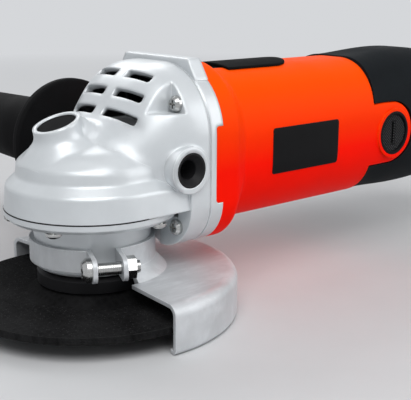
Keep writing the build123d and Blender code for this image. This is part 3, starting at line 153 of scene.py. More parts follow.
# %% [markdown]
# Finishes share a few effects, and each effect is a node group that is built once. Grain is two
# layers of noise: a fine one for bump and a cloudy one for slow changes of shade. The edge mask
# comes from the Bevel node, which looks round a corner: where its normal and the surface's own
# normal differ, there is an edge. Corners are lightened there, partly as wear and partly as a
# painted highlight. A second, wider Bevel node gives the normal of a rounded corner, so that a
# crease between two walls of a casting looks filled, as molten metal would leave it.

# %% Shared effects
def new_group(kind, name, inputs, outputs):
    """An empty node group with named sockets, and its two end nodes."""
    tree = bpy.data.node_groups.new(name, kind)
    for label, sort, value in inputs:
        socket = tree.interface.new_socket(label, in_out="INPUT", socket_type="NodeSocket" + sort)
        if value is not None:
            socket.default_value = value
    for label, sort in outputs:
        tree.interface.new_socket(label, in_out="OUTPUT", socket_type="NodeSocket" + sort)
    return tree, tree.nodes.new("NodeGroupInput"), tree.nodes.new("NodeGroupOutput")


def calc(tree, operation, *values):
    """A Math node; each value is a number or another node's output."""
    node = tree.nodes.new("ShaderNodeMath")
    node.operation = operation
    for socket, value in zip(node.inputs, values):
        if isinstance(value, (int, float)):
            socket.default_value = value
        else:
            tree.links.new(value, socket)
    return node.outputs[0]


def slope(tree, value, start, stop, low=0.0, high=1.0):
    """A Map Range node: low up to start, high from stop on."""
    node = add_node(tree, "ShaderNodeMapRange", From_Min=start, From_Max=stop,
                    To_Min=low, To_Max=high)
    tree.links.new(value, node.inputs["Value"])
    return node.outputs[0]


def make_grain():
    tree, start, end = new_group(
        "ShaderNodeTree", "grain", [("Vector", "Vector", None), ("Size", "Float", 0.0004)],
        [("Height", "Float"), ("Cloud", "Float")])
    cloud_share = 0.03                    # the cloud's scale beside the fine grain's
    fine_scale = calc(tree, "DIVIDE", 1.0, start.outputs["Size"])
    fine = add_node(tree, "ShaderNodeTexNoise", Detail=2.0, Roughness=0.6)
    cloud = add_node(tree, "ShaderNodeTexNoise", Detail=4.0, Roughness=0.6)
    tree.links.new(fine_scale, fine.inputs["Scale"])
    tree.links.new(calc(tree, "MULTIPLY", fine_scale, cloud_share), cloud.inputs["Scale"])
    for noise, label in ((fine, "Height"), (cloud, "Cloud")):
        tree.links.new(start.outputs["Vector"], noise.inputs["Vector"])
        tree.links.new(noise.outputs[0], end.inputs[label])
    return tree


def make_edge_wear_and_highlight():
    tree, start, end = new_group(
        "ShaderNodeTree", "rubbed_edges",
        [("Vector", "Vector", None), ("Width", "Float", 0.0004), ("Round", "Float", 0.0004)],
        [("Mask", "Float"), ("Normal", "Vector")])
    no_edge, full_edge = 0.99, 0.86       # cosines of normals 8 and 31 degrees apart
    rounded = add_node(tree, "ShaderNodeBevel", samples=6)
    filled = add_node(tree, "ShaderNodeBevel", samples=8)
    surface = add_node(tree, "ShaderNodeNewGeometry")
    agreement = add_node(tree, "ShaderNodeVectorMath", operation="DOT_PRODUCT")
    patches = add_node(tree, "ShaderNodeTexNoise", Scale=420.0, Detail=3.0)
    link = tree.links.new
    link(start.outputs["Width"], rounded.inputs["Radius"])
    link(start.outputs["Round"], filled.inputs["Radius"])
    link(rounded.outputs[0], agreement.inputs[0])
    link(surface.outputs["Normal"], agreement.inputs[1])
    link(start.outputs["Vector"], patches.inputs["Vector"])
    # This mask lightens corners: partly wear, partly a painted highlight.
    edge = slope(tree, agreement.outputs["Value"], no_edge, full_edge)
    broken = slope(tree, patches.outputs[0], 0.3, 0.55, 0.35, 1.0)
    link(calc(tree, "MULTIPLY", edge, broken), end.inputs["Mask"])
    link(filled.outputs[0], end.inputs["Normal"])
    return tree


grain_effect = make_grain()
edge_wear_and_highlight_effect = make_edge_wear_and_highlight()
print("effects", [g.name for g in bpy.data.node_groups])

# %% [markdown]
# One recipe makes every finish: a base colour that the cloudy noise darkens a little, an edge
# colour on corners that is partly wear and partly a painted highlight, a roughness that wanders
# between two values, and a bump from the grain. The values make it paint, plastic or steel. A
# finish can add steps of its own: a pattern in place of the plain grain, painted light as a second
# colour that the base turns to with height, or painted shade, a near-black mask over the inside of
# a casting or housing where shadow lies.

# %% The finish recipe
def mix_colour(tree, share, first, second):
    """A colour between two others; each is a colour or another node's output."""
    node = add_node(tree, "ShaderNodeMix", data_type="RGBA")
    tree.links.new(share, node.inputs[0])
    for socket, colour in ((node.inputs[6], first), (node.inputs[7], second)):
        if isinstance(colour, tuple):
            socket.default_value = (*colour, 1)
        else:
            tree.links.new(colour, socket)
    return node.outputs[2]


finishes = {}
cloud_low, cloud_high = 0.3, 0.7          # most of the noise lies between these
lighter_share = 0.6                       # the cloud lightens less than it darkens
painted_shade_colour = (0.006, 0.006, 0.007)             # painted shade, the colour of shadow in hollows


def finish(name, colour, rough, metal=0.0, grain=0.4, bump=0.1, shade=0.12, edge=None,
           edge_width=0.35, corner=None, shine=0.5, pattern=None, painted_light_fade=None, painted_hollow_shade=None):
    """A material, listed in finishes; sizes in millimetres. rough is (smoothest, roughest), shade
    the cloud's depth, edge a colour for corners that is partly wear and partly a painted highlight,
    shine the strength of the gloss. corner, how round corners look, is a size or a function that
    adds nodes, as pattern, painted_light_fade (painted light with height) and painted_hollow_shade
    (painted shade in hollows) are."""
    material = bpy.data.materials.new(name)
    material.use_nodes = True
    tree = material.node_tree
    link = tree.links.new
    skin = tree.nodes["Principled BSDF"]
    skin.inputs["Metallic"].default_value = metal
    skin.inputs["Specular IOR Level"].default_value = shine
    place = add_node(tree, "ShaderNodeTexCoord").outputs["Object"]

    speck = add_node(tree, "ShaderNodeGroup", node_tree=grain_effect)
    speck.inputs["Size"].default_value = grain * MM
    link(place, speck.inputs["Vector"])
    height, cloud = speck.outputs["Height"], speck.outputs["Cloud"]
    if pattern:
        height, cloud = pattern(tree, place, height, cloud)

    dark = tuple(c * (1 - shade) for c in colour)
    light = tuple(min(1.0, c * (1 + shade * lighter_share)) for c in colour)
    tint = mix_colour(tree, slope(tree, cloud, cloud_low, cloud_high), dark, light)
    # Painted light: the colour turns to a lighter one with height.
    if painted_light_fade:
        tint = painted_light_fade(tree, place, tint)
    worn_and_highlit = add_node(tree, "ShaderNodeGroup", node_tree=edge_wear_and_highlight_effect)
    worn_and_highlit.inputs["Width"].default_value = edge_width * MM
    if callable(corner):
        link(corner(tree, place), worn_and_highlit.inputs["Round"])
    else:
        worn_and_highlit.inputs["Round"].default_value = (corner or edge_width) * MM
    link(place, worn_and_highlit.inputs["Vector"])
    # The edge colour is partly wear and partly a painted highlight.
    if edge:
        tint = mix_colour(tree, worn_and_highlit.outputs["Mask"], tint, edge)
    # Painted shade: a mask darkens the inside to near-black where shadow lies.
    if painted_hollow_shade:
        tint = mix_colour(tree, painted_hollow_shade(tree, place), tint, painted_shade_colour)
    link(tint, skin.inputs["Base Color"])

    link(slope(tree, cloud, cloud_low, cloud_high, *rough), skin.inputs["Roughness"])
    relief = add_node(tree, "ShaderNodeBump", Strength=bump, Distance=grain * MM / 2)
    link(height, relief.inputs["Height"])
    link(worn_and_highlit.outputs["Normal"], relief.inputs["Normal"])
    link(relief.outputs[0], skin.inputs["Normal"])
    finishes[name] = material
    return material


print("noise between", cloud_low, "and", cloud_high)

# %% [markdown]
# The gear head, its cover and the bearing flange are castings under a satin silver lacquer. The
# lacquer is nearly a pale grey paint with some metal flake, so it has broad soft highlights and
# no mirror. The space behind the air slots gets painted shade, a near-black colour in place of
# the shadow there. Its mask is the depth below the hood's outer form, which is a sloping deck,
# then a flat top, with round sides, so the slot walls get darker painted shade on their way in.

# %% Castings
def parts_of(tree, place):
    split = add_node(tree, "ShaderNodeSeparateXYZ")
    tree.links.new(place, split.inputs[0])
    return split.outputs


def product(tree, first, *others):
    """Several values multiplied."""
    for value in others:
        first = calc(tree, "MULTIPLY", first, value)
    return first


def painted_shade_in_head(tree, place):
    """A mask of painted shade for the space behind the air slots."""
    deck_slope, deck_height, top_height = 1.03, 78.0 * MM, 100.8 * MM
    flat_half, corner = 7.2 * MM, 23.0 * MM
    x, y, z = parts_of(tree, place)
    out = calc(tree, "ABSOLUTE", y)
    deck = calc(tree, "MULTIPLY_ADD", x, deck_slope, deck_height)
    top = calc(tree, "MINIMUM", deck, top_height)
    past = calc(tree, "MAXIMUM", calc(tree, "SUBTRACT", out, flat_half), 0.0)
    chord = calc(tree, "SUBTRACT", corner ** 2, calc(tree, "POWER", past, 2.0))
    drop = calc(tree, "SUBTRACT", corner, calc(tree, "SQRT", calc(tree, "MAXIMUM", chord, 0.0)))
    depth = calc(tree, "SUBTRACT", calc(tree, "SUBTRACT", top, drop), z)
    below_wall = slope(tree, depth, 1.8 * MM, 2.9 * MM)
    between_sides = slope(tree, out, 23.2 * MM, 22.4 * MM)
    over_floor = slope(tree, z, 74.2 * MM, 74.8 * MM)
    behind_front = slope(tree, x, 3.0 * MM, 3.6 * MM)
    return product(tree, below_wall, between_sides, over_floor, behind_front)


def wide_valley(tree, place):
    """How round corners look: least on the thin skirt, most along the foot of the hood, which
    runs back and down as it goes out from the middle."""
    back_per_out, down_per_out = 0.78, 0.69
    skirt_round, plain_round, foot_extra = 0.7 * MM, 2.0 * MM, 5.0 * MM
    x, y, z = parts_of(tree, place)
    out = calc(tree, "ABSOLUTE", y)
    behind_foot = calc(tree, "MULTIPLY_ADD", out, -back_per_out, x)
    over_foot = calc(tree, "MULTIPLY_ADD", out, down_per_out, z)
    share = product(tree, slope(tree, out, 11.0 * MM, 15.0 * MM),
                    slope(tree, behind_foot, -9.0 * MM, -12.0 * MM),
                    slope(tree, over_foot, 78.5 * MM, 82.5 * MM))
    elsewhere = slope(tree, z, 58.0 * MM, 63.0 * MM, skirt_round, plain_round)
    return calc(tree, "MULTIPLY_ADD", share, foot_extra, elsewhere)


lacquer = dict(colour=(0.63, 0.66, 0.68), rough=(0.28, 0.36), metal=0.25, grain=0.5, bump=0.04,
               shade=0.05)
# Its edge colour is partly wear and partly a painted highlight on corners and slot rims.
finish("silver_casting", **lacquer, edge=(0.86, 0.89, 0.91), edge_width=0.6, corner=wide_valley,
       painted_hollow_shade=painted_shade_in_head)
finish("casting_fillet", **lacquer, edge_width=0.01)
print("castings", len(finishes))

# %% [markdown]
# The guard is pressed from sheet steel and plated a dull silver. It is the part that is gripped,
# turned and hit by sparks, so it isn't as even as the lacquer: smudges and wiped streaks change
# its shade and its gloss. Two noises make them, one of them stretched into streaks.

# %% Guard sheet
def smudged(tree, place, height, cloud):
    stretched = add_node(tree, "ShaderNodeMapping", Scale=(1.0, 4.5, 1.0), Rotation=(0, 0, 0.6))
    tree.links.new(place, stretched.inputs["Vector"])
    streaks = add_node(tree, "ShaderNodeTexNoise", Scale=85.0, Detail=5.0, Roughness=0.65)
    tree.links.new(stretched.outputs[0], streaks.inputs["Vector"])
    smudges = add_node(tree, "ShaderNodeTexNoise", Scale=48.0, Detail=3.0, Distortion=1.2)
    tree.links.new(place, smudges.inputs["Vector"])
    wiped_share, cloud_share = 0.35, 0.8
    wiped = calc(tree, "MULTIPLY", slope(tree, streaks.outputs[0], 0.45, 0.7),
                 slope(tree, smudges.outputs[0], 0.4, 0.6))
    calmer = calc(tree, "MULTIPLY", cloud, cloud_share)
    return height, calc(tree, "MULTIPLY_ADD", wiped, wiped_share, calmer)


# Its edge colour is partly wear and partly a painted highlight.
finish(
    "guard_sheet", (0.60, 0.62, 0.64), (0.36, 0.55), metal=0.25, grain=0.5, bump=0.06, shade=0.14,
    edge=(0.82, 0.84, 0.86), edge_width=0.6, pattern=smudged)
print("guard", finishes["guard_sheet"].name)

# %% [markdown]
# The motor housing is moulded in one vivid colour. A slow change with height paints light into
# it: orange above, where it is lit, and deeper red below. Gloss would wash the colour out, so its
# shine is low. The inside gets painted shade like the head's.

# %% Moulded housing
motor_axis = 60.5 * MM                    # height of the motor's axis


def painted_light_above(tree, place, tint):
    # Painted light: the colour turns orange towards the top.
    painted_light_colour, most = (1.0, 0.095, 0.001), 0.85
    z = parts_of(tree, place)[2]
    return mix_colour(tree, slope(tree, z, 57 * MM, 92 * MM, 0.0, most), tint, painted_light_colour)


def painted_shade_in_housing(tree, place):
    """A mask of painted shade in the round bore, and in the switch's opening in front of it."""
    x, y, z = parts_of(tree, place)
    across = calc(tree, "POWER", y, 2.0)
    up = calc(tree, "POWER", calc(tree, "SUBTRACT", z, motor_axis), 2.0)
    from_axis = calc(tree, "SQRT", calc(tree, "ADD", across, up))
    bore = slope(tree, from_axis, 31.3 * MM, 30.8 * MM)
    in_front = slope(tree, x, 46 * MM, 45.5 * MM)
    under_top = slope(tree, z, 94.4 * MM, 93.9 * MM)
    over_axis = slope(tree, z, 60 * MM, 61 * MM)
    between_sides = slope(tree, calc(tree, "ABSOLUTE", y), 20.5 * MM, 20.0 * MM)
    mouth = product(tree, in_front, under_top, over_axis, between_sides)
    return calc(tree, "MAXIMUM", bore, mouth)


# Its lighter orange edge colour is partly wear and partly a painted highlight.
finish(
    "red_housing", (0.98, 0.007, 0.0005), (0.40, 0.48), grain=0.6, bump=0.02, shade=0.03,
    edge=(1.0, 0.10, 0.006), edge_width=0.5, shine=0.025, painted_light_fade=painted_light_above, painted_hollow_shade=painted_shade_in_housing)
print("housing", finishes["red_housing"].name)

# %% [markdown]
# The blacks differ by their surface more than by their colour. The rear handle is a finely
# textured nylon with a slate tone, the side grip is softer and duller, the switch and the lock
# button are smooth mouldings, and the brush caps are a little greyer so that their studs show.

# %% Black plastics
finish(
    "black_handle", (0.0095, 0.0113, 0.013), (0.5, 0.62), grain=0.35, bump=0.16, shade=0.2,
    edge=(0.024, 0.028, 0.031), edge_width=0.5, shine=0.025)
finish(
    "black_grip", (0.007, 0.007, 0.0075), (0.6, 0.75), grain=0.5, bump=0.25, shade=0.25,
    edge=(0.018, 0.018, 0.019), edge_width=0.6, shine=0.05)
finish(
    "black_plastic", (0.007, 0.0075, 0.008), (0.55, 0.68), grain=0.3, bump=0.1, shade=0.2,
    edge=(0.024, 0.025, 0.026), edge_width=0.4, shine=0.015)
finish(
    "cap_plastic", (0.007, 0.007, 0.0075), (0.5, 0.62), grain=0.3, bump=0.12, shade=0.2,
    edge=(0.03, 0.03, 0.032), edge_width=0.2, shine=0.06)
finish(
    "cap_stud", (0.055, 0.056, 0.058), (0.45, 0.58), grain=0.3, bump=0.1, shade=0.2,
    edge=(0.12, 0.12, 0.125), edge_width=0.12, shine=0.2)
finish("fan_plastic", (0.05, 0.05, 0.055), (0.4, 0.55), grain=0.4, shade=0.15, shine=0.3)
finish("rubber", (0.01, 0.01, 0.01), (0.6, 0.8), grain=0.5, bump=0.25, shade=0.25, shine=0.2)
print("plastics", len(finishes))

# %% [markdown]
# Steel parts are zinc plated, ground or blackened. The bright ones are full metals that differ in
# roughness, and blackening is a dull dark coat over the metal. Turned faces keep fine rings of the
# tool, but at this size a fine grain in the roughness reads the same.

# %% Metals
finish(
    "bright_steel", (0.50, 0.50, 0.49), (0.14, 0.26), metal=1.0, grain=0.3, bump=0.05, shade=0.1,
    edge=(0.8, 0.8, 0.78), edge_width=0.15)
finish(
    "machined_steel", (0.52, 0.52, 0.53), (0.24, 0.38), metal=1.0, grain=0.3, bump=0.06, shade=0.12,
    edge=(0.8, 0.8, 0.8), edge_width=0.2)
finish(
    "dark_steel", (0.010, 0.010, 0.011), (0.45, 0.58), metal=0.0, grain=0.4, bump=0.1, shade=0.2,
    edge=(0.05, 0.05, 0.053), edge_width=0.3, shine=0.15)
finish("brass", (0.72, 0.5, 0.18), (0.25, 0.4), metal=1.0, bump=0.08)
print("metals", len(finishes))

# %% [markdown]
# The motor's iron is a stack of thin sheets, its windings are lacquered wire laid side by side,
# and both show as fine bands. A wave along the motor's axis gives the sheets, and one across it
# gives the wire. Carbon brushes and the felt seal only need a dull, coarse grain.

# %% Inside the motor
def wave_scale(pitch):
    """The Scale of a Wave texture whose bands are that many millimetres apart."""
    return math.pi / (10 * pitch * MM)


def banded(pitch, direction):
    """A pattern of fine bands that cross one axis."""
    def pattern(tree, place, height, cloud):
        wave = add_node(tree, "ShaderNodeTexWave", bands_direction=direction,
                        Scale=wave_scale(pitch))
        tree.links.new(place, wave.inputs["Vector"])
        bands = wave.outputs["Fac"]
        return bands, calc(tree, "MULTIPLY_ADD", calc(tree, "SUBTRACT", bands, 0.5), 0.5, cloud)

    return pattern


finish(
    "lamination", (0.2, 0.2, 0.21), (0.4, 0.55), metal=0.8, grain=0.5, bump=0.3, shade=0.3,
    pattern=banded(0.5, "X"))
finish(
    "copper", (0.62, 0.24, 0.09), (0.25, 0.4), metal=0.9, grain=0.6, bump=0.4, shade=0.3,
    pattern=banded(0.6, "Z"))
finish("carbon", (0.03, 0.03, 0.031), (0.5, 0.65), bump=0.2, shade=0.3, shine=0.3)
finish("felt", (0.3, 0.28, 0.25), (0.85, 1.0), bump=0.6, shade=0.3, shine=0.1)
print("motor", len(finishes))

# %% [markdown]
# A grinding wheel is abrasive grains and glass cloth in a black resin. The cloth shows through as
# a faint square weave, two waves that cross, and the resin between is mottled. The loose grains
# are real geometry further down.

# %% Abrasive
def woven(tree, place, height, cloud):
    cloth_pitch, mottle_size = 3.2, 0.9
    weave_relief, weave_shade = 0.35, 0.12
    threads = []
    for direction in "XY":
        wave = add_node(tree, "ShaderNodeTexWave", bands_direction=direction, Distortion=1.5,
                        Scale=wave_scale(cloth_pitch), Detail_Scale=2.0)
        tree.links.new(place, wave.inputs["Vector"])
        threads.append(wave.outputs["Fac"])
    weave = calc(tree, "MAXIMUM", *threads)
    mottle = add_node(tree, "ShaderNodeTexVoronoi", Scale=1.0 / (mottle_size * MM))
    tree.links.new(place, mottle.inputs["Vector"])
    rough = calc(tree, "ADD", height, mottle.outputs["Distance"])
    return (calc(tree, "MULTIPLY_ADD", weave, weave_relief, rough),
            calc(tree, "MULTIPLY_ADD", weave, weave_shade, cloud))


finish(
    "abrasive", (0.0145, 0.0145, 0.015), (0.75, 0.95), grain=0.7, bump=0.6, shade=0.65,
    edge=(0.03, 0.03, 0.03), edge_width=0.5, shine=0.015, pattern=woven)
finish(
    "abrasive_grain", (0.034, 0.034, 0.035), (0.5, 0.7), grain=0.1, bump=0.1, shade=0.5, shine=0.12)
for part in frame["record"]["subparts"]:
    solid = frame["nodes"][part["node"]]
    solid.data.materials.clear()
    solid.data.materials.append(finishes[part["material_slot"]])

# %% [markdown]
# Small pieces that repeat or follow a path are grown by Geometry Nodes. Each tree has named
# inputs, so that a size can be changed in one place, and it ends by making its copies real and
# giving them their finish. The helper runs a tree on an empty mesh, keeps the plain mesh that
# comes out, and hands it to the body it rides on.

# %% Growing pieces
def new_piece(name, mesh, body):
    piece = bpy.data.objects.new(name, mesh)
    bpy.context.scene.collection.objects.link(piece)
    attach(piece, body)
    return piece


def numbers(*labels):
    """Inputs of a tree that are plain numbers."""
    return [(label, "Float", 1.0) for label in labels]


def geometry_tree(name, inputs):
    sockets = inputs + [("Finish", "Material", None)]
    return new_group("GeometryNodeTree", name, sockets, [("Geometry", "Geometry")])


def chain(tree, *nodes):
    """Links the first output of each node or socket to the first input of the next."""
    for before, after in zip(nodes, nodes[1:]):
        output = before.outputs[0] if hasattr(before, "outputs") else before
        tree.links.new(output, after.inputs[0])
    return nodes[-1]


def close_tree(tree, start, end, shape):
    cover = add_node(tree, "GeometryNodeSetMaterial")
    chain(tree, shape, add_node(tree, "GeometryNodeRealizeInstances"), cover, end)
    tree.links.new(start.outputs["Finish"], cover.inputs["Material"])


def grow(name, tree, body, slot, look=None, **values):
    holder = bpy.data.objects.new(name + "_grown", bpy.data.meshes.new(name))
    bpy.context.scene.collection.objects.link(holder)
    grower = holder.modifiers.new(name, "NODES")
    grower.node_group = tree
    values["Finish"] = finishes[look or slot]
    for item in tree.interface.items_tree:
        key = item.name.replace(" ", "_")
        if item.in_out == "INPUT" and key in values:
            grower[item.identifier] = values[key]
    bpy.context.view_layer.update()
    grown = holder.evaluated_get(bpy.context.evaluated_depsgraph_get())
    mesh = bpy.data.meshes.new_from_object(grown)
    holder.modifiers.remove(grower)
    bpy.data.objects.remove(holder)
    mesh.name = name
    print(name, "faces", len(mesh.polygons))
    return new_piece(name, mesh, body)


# %% [markdown]
# Each brush cap is a plastic screw plug with a coin slot. Its face is covered with small studs for
# grip, in a grid that stands on its corner, and the slot's walls have teeth that hold the driver.
# The tree lays a grid, deletes the points outside the face and over the slot, and sets a stub on
# each one that is left. The far cap is the same set turned the other way round.

# %% Brush cap studs
def make_cap_studs():
    grid_share, taper = 3.0, 0.45         # the grid beside the reach, a stud's top beside its foot
    row_share, wall_share = 0.9, 1.02     # a row of teeth beside the slot's length and width
    tooth_foot, tooth_length = 1.3, 1.5   # beside a stud's foot
    tree, start, end = geometry_tree(
        "cap_studs",
        numbers("Pitch", "Reach", "Stud", "Rise", "Slot Half Width", "Slot Half Length")
        + [("Teeth", "Int", 1), ("Cap Place", "Vector", None)])
    given = start.outputs
    link = tree.links.new
    side = calc(tree, "MULTIPLY", given["Reach"], grid_share)
    count = calc(tree, "DIVIDE", side, given["Pitch"])
    grid = add_node(tree, "GeometryNodeMeshGrid")
    for axis in "XY":
        link(side, grid.inputs["Size " + axis])
        link(count, grid.inputs["Vertices " + axis])
    diamond = add_node(tree, "GeometryNodeTransform", Rotation=(0, 0, math.pi / 4))
    place = add_node(tree, "GeometryNodeInputPosition")
    reach = add_node(tree, "ShaderNodeVectorMath", operation="LENGTH")
    link(place.outputs[0], reach.inputs[0])
    x, y = parts_of(tree, place.outputs[0])[:2]
    outside = calc(tree, "GREATER_THAN", reach.outputs["Value"], given["Reach"])
    half_width = calc(tree, "ADD", given["Slot Half Width"], given["Stud"])
    half_length = calc(tree, "ADD", given["Slot Half Length"], given["Stud"])
    beside = calc(tree, "LESS_THAN", calc(tree, "ABSOLUTE", x), half_width)
    along = calc(tree, "LESS_THAN", calc(tree, "ABSOLUTE", y), half_length)
    over_slot = calc(tree, "MULTIPLY", beside, along)
    unwanted = add_node(tree, "GeometryNodeDeleteGeometry", domain="POINT")
    link(calc(tree, "MAXIMUM", outside, over_slot), unwanted.inputs["Selection"])
    stub = add_node(tree, "GeometryNodeMeshCone", Vertices=4)
    link(calc(tree, "MULTIPLY", given["Stud"], taper), stub.inputs["Radius Top"])
    link(given["Stud"], stub.inputs["Radius Bottom"])
    link(given["Rise"], stub.inputs["Depth"])
    studs = add_node(tree, "GeometryNodeInstanceOnPoints")
    chain(tree, grid, diamond, unwanted, studs)
    link(stub.outputs[0], studs.inputs["Instance"])

    face = add_node(tree, "GeometryNodeJoinGeometry")
    link(studs.outputs[0], face.inputs[0])
    for sense in (-1, 1):
        first = add_node(tree, "ShaderNodeCombineXYZ")
        step = add_node(tree, "ShaderNodeCombineXYZ")
        wall = calc(tree, "MULTIPLY", given["Slot Half Width"], sense * wall_share)
        link(wall, first.inputs["X"])
        link(calc(tree, "MULTIPLY", given["Slot Half Length"], -row_share), first.inputs["Y"])
        link(calc(tree, "MULTIPLY", given["Stud"], -1.0), first.inputs["Z"])
        length = calc(tree, "MULTIPLY", given["Slot Half Length"], 2 * row_share)
        gaps = calc(tree, "SUBTRACT", given["Teeth"], 1.0)
        link(calc(tree, "DIVIDE", length, gaps), step.inputs["Y"])
        row = add_node(tree, "GeometryNodeMeshLine")
        link(given["Teeth"], row.inputs["Count"])
        link(first.outputs[0], row.inputs["Start Location"])
        link(step.outputs[0], row.inputs["Offset"])
        tooth = add_node(tree, "GeometryNodeMeshCone", Vertices=4, Radius_Top=0.0)
        link(calc(tree, "MULTIPLY", given["Stud"], tooth_foot), tooth.inputs["Radius Bottom"])
        link(calc(tree, "MULTIPLY", given["Stud"], tooth_length), tooth.inputs["Depth"])
        teeth = add_node(tree, "GeometryNodeInstanceOnPoints",
                         Rotation=(0, -sense * math.pi / 2, 0))
        chain(tree, row, teeth)
        link(tooth.outputs[0], teeth.inputs["Instance"])
        link(teeth.outputs[0], face.inputs[0])

    both = add_node(tree, "GeometryNodeJoinGeometry")
    for turn, mirror in ((math.pi / 2, 1), (-math.pi / 2, -1)):
        placed = add_node(tree, "GeometryNodeTransform", Rotation=(turn, 0, 0))
        across = add_node(tree, "ShaderNodeVectorMath", operation="MULTIPLY")
        across.inputs[1].default_value = (1, mirror, 1)
        link(given["Cap Place"], across.inputs[0])
        link(across.outputs[0], placed.inputs["Translation"])
        chain(tree, face, placed)
        link(placed.outputs[0], both.inputs[0])
    close_tree(tree, start, end, both)
    return tree


cap_face = Vector((157.0, -33.28, 60.5)) * MM     # middle of the near cap's face
grow("brush_cap_studs", make_cap_studs(), "body", "cap_plastic", "cap_stud", Pitch=0.95 * MM,
     Reach=8.8 * MM, Stud=0.34 * MM, Rise=0.3 * MM, Slot_Half_Width=1.1 * MM,
     Slot_Half_Length=5.5 * MM, Teeth=9, Cap_Place=cap_face)

# %% [markdown]
# The clamp screw's thread is a ridge that winds round the plain shank of the solid. A Spiral curve
# with a small diamond as its profile makes it. The ridge runs between the two ears of the guard's
# band and again behind the nut, because a thread inside the nut can't be seen.

# %% Clamp screw thread
def make_thread():
    tree, start, end = geometry_tree(
        "thread", numbers("Turns", "Pitch", "Core", "Ridge")
        + [("Sides", "Int", 4), ("Place", "Vector", None), ("Turn", "Vector", None)])
    given = start.outputs
    link = tree.links.new
    winding = add_node(tree, "GeometryNodeCurveSpiral", Resolution=24)
    link(given["Turns"], winding.inputs["Rotations"])
    for label in ("Start Radius", "End Radius"):
        link(given["Core"], winding.inputs[label])
    link(calc(tree, "MULTIPLY", given["Turns"], given["Pitch"]), winding.inputs["Height"])
    profile = add_node(tree, "GeometryNodeCurvePrimitiveCircle")
    link(given["Sides"], profile.inputs["Resolution"])
    link(given["Ridge"], profile.inputs["Radius"])
    sweep = add_node(tree, "GeometryNodeCurveToMesh", Fill_Caps=True)
    placed = add_node(tree, "GeometryNodeTransform")
    chain(tree, winding, sweep, placed)
    link(profile.outputs[0], sweep.inputs["Profile Curve"])
    link(given["Place"], placed.inputs["Translation"])
    link(given["Turn"], placed.inputs["Rotation"])
    close_tree(tree, start, end, placed)
    return tree


clamp_turn = math.radians(-114.0)         # of the clamp's middle round the spindle
clamp_frame = Matrix.Rotation(clamp_turn, 3, "Z")
screw_reach, screw_height = 35.5, 25.9    # of the screw, from the spindle's axis and its end
thread_tree = make_thread()
for name, begin, turns in (("clamp_screw_thread", -5.0, 12.5),
                           ("clamp_screw_tip_thread", 10.8, 1.6)):
    grow(name, thread_tree, "wheel_guard", "bright_steel", Turns=turns, Pitch=0.8 * MM,
         Core=2.36 * MM, Ridge=0.22 * MM, Sides=4,
         Place=clamp_frame @ Vector((screw_reach, begin, screw_height)) * MM,
         Turn=(-math.pi / 2, 0, clamp_turn))

# %% [markdown]
# Under the lock button a coil spring pushes it back up. In the solids it is a plain sleeve, and a
# sleeve can't get shorter when the button goes in. The winding of the thread, with a round wire,
# makes a coil in its place. It stands on the floor of the bore.

# %% Lock spring
lock_x = -15.8
lock_top = Vector((lock_x, 0.0, 79.0))    # middle of the button, in millimetres
lock_tilt = math.radians(-12.5)
lock_axis = Vector((math.sin(lock_tilt), 0.0, math.cos(lock_tilt)))
bore_floor, button_base = -11.95, -6.05   # ends of the spring along the axis
lock_travel, spring_turns, wire = 4.0, 2.5, 0.42
spring_length = button_base - bore_floor

lock_coil = grow("lock_coil", thread_tree, "body", "machined_steel", Turns=spring_turns,
                 Pitch=(spring_length - 2 * wire) / spring_turns * MM, Core=4.1 * MM,
                 Ridge=wire * MM, Sides=10,
                 Place=(lock_top + lock_axis * (bore_floor + wire)) * MM, Turn=(0, lock_tilt, 0))
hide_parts("lock_spring")
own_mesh(lock_coil)

# %% [markdown]
# Between the gear head and its cover lies a thin dark gasket, and its edge is the line that is
# seen round the front of the head. An arc with a small rectangle as its profile is enough.

# %% Cover gasket
def make_gasket():
    tree, start, end = geometry_tree("gasket", numbers("Radius", "Opening", "Thickness", "Height"))
    given = start.outputs
    link = tree.links.new
    rim = add_node(tree, "GeometryNodeCurveArc", Resolution=140)
    link(given["Radius"], rim.inputs["Radius"])
    link(given["Opening"], rim.inputs["Start Angle"])
    link(calc(tree, "MULTIPLY_ADD", given["Opening"], -2.0, 2 * math.pi), rim.inputs["Sweep Angle"])
    edge = add_node(tree, "GeometryNodeCurvePrimitiveQuadrilateral")
    link(given["Thickness"], edge.inputs["Width"])
    link(given["Thickness"], edge.inputs["Height"])
    sweep = add_node(tree, "GeometryNodeCurveToMesh", Fill_Caps=True)
    placed = add_node(tree, "GeometryNodeTransform")
    lift = add_node(tree, "ShaderNodeCombineXYZ")
    link(given["Height"], lift.inputs["Z"])
    chain(tree, rim, sweep, placed)
    link(edge.outputs[0], sweep.inputs["Profile Curve"])
    link(lift.outputs[0], placed.inputs["Translation"])
    close_tree(tree, start, end, placed)
    return tree


grow("cover_gasket", make_gasket(), "body", "rubber", Radius=36.03 * MM, Opening=math.radians(47.0),
     Thickness=0.5 * MM, Height=43.5 * MM)

# %% [markdown]
# Abrasive grains stand out of the wheel's two faces. Points are scattered over a disc with a fixed
# seed, those over the sunk centre are deleted, and each of the rest gets a small stone, turned and
# sized at random. None is set near the rim, which keeps the wheel's true diameter.

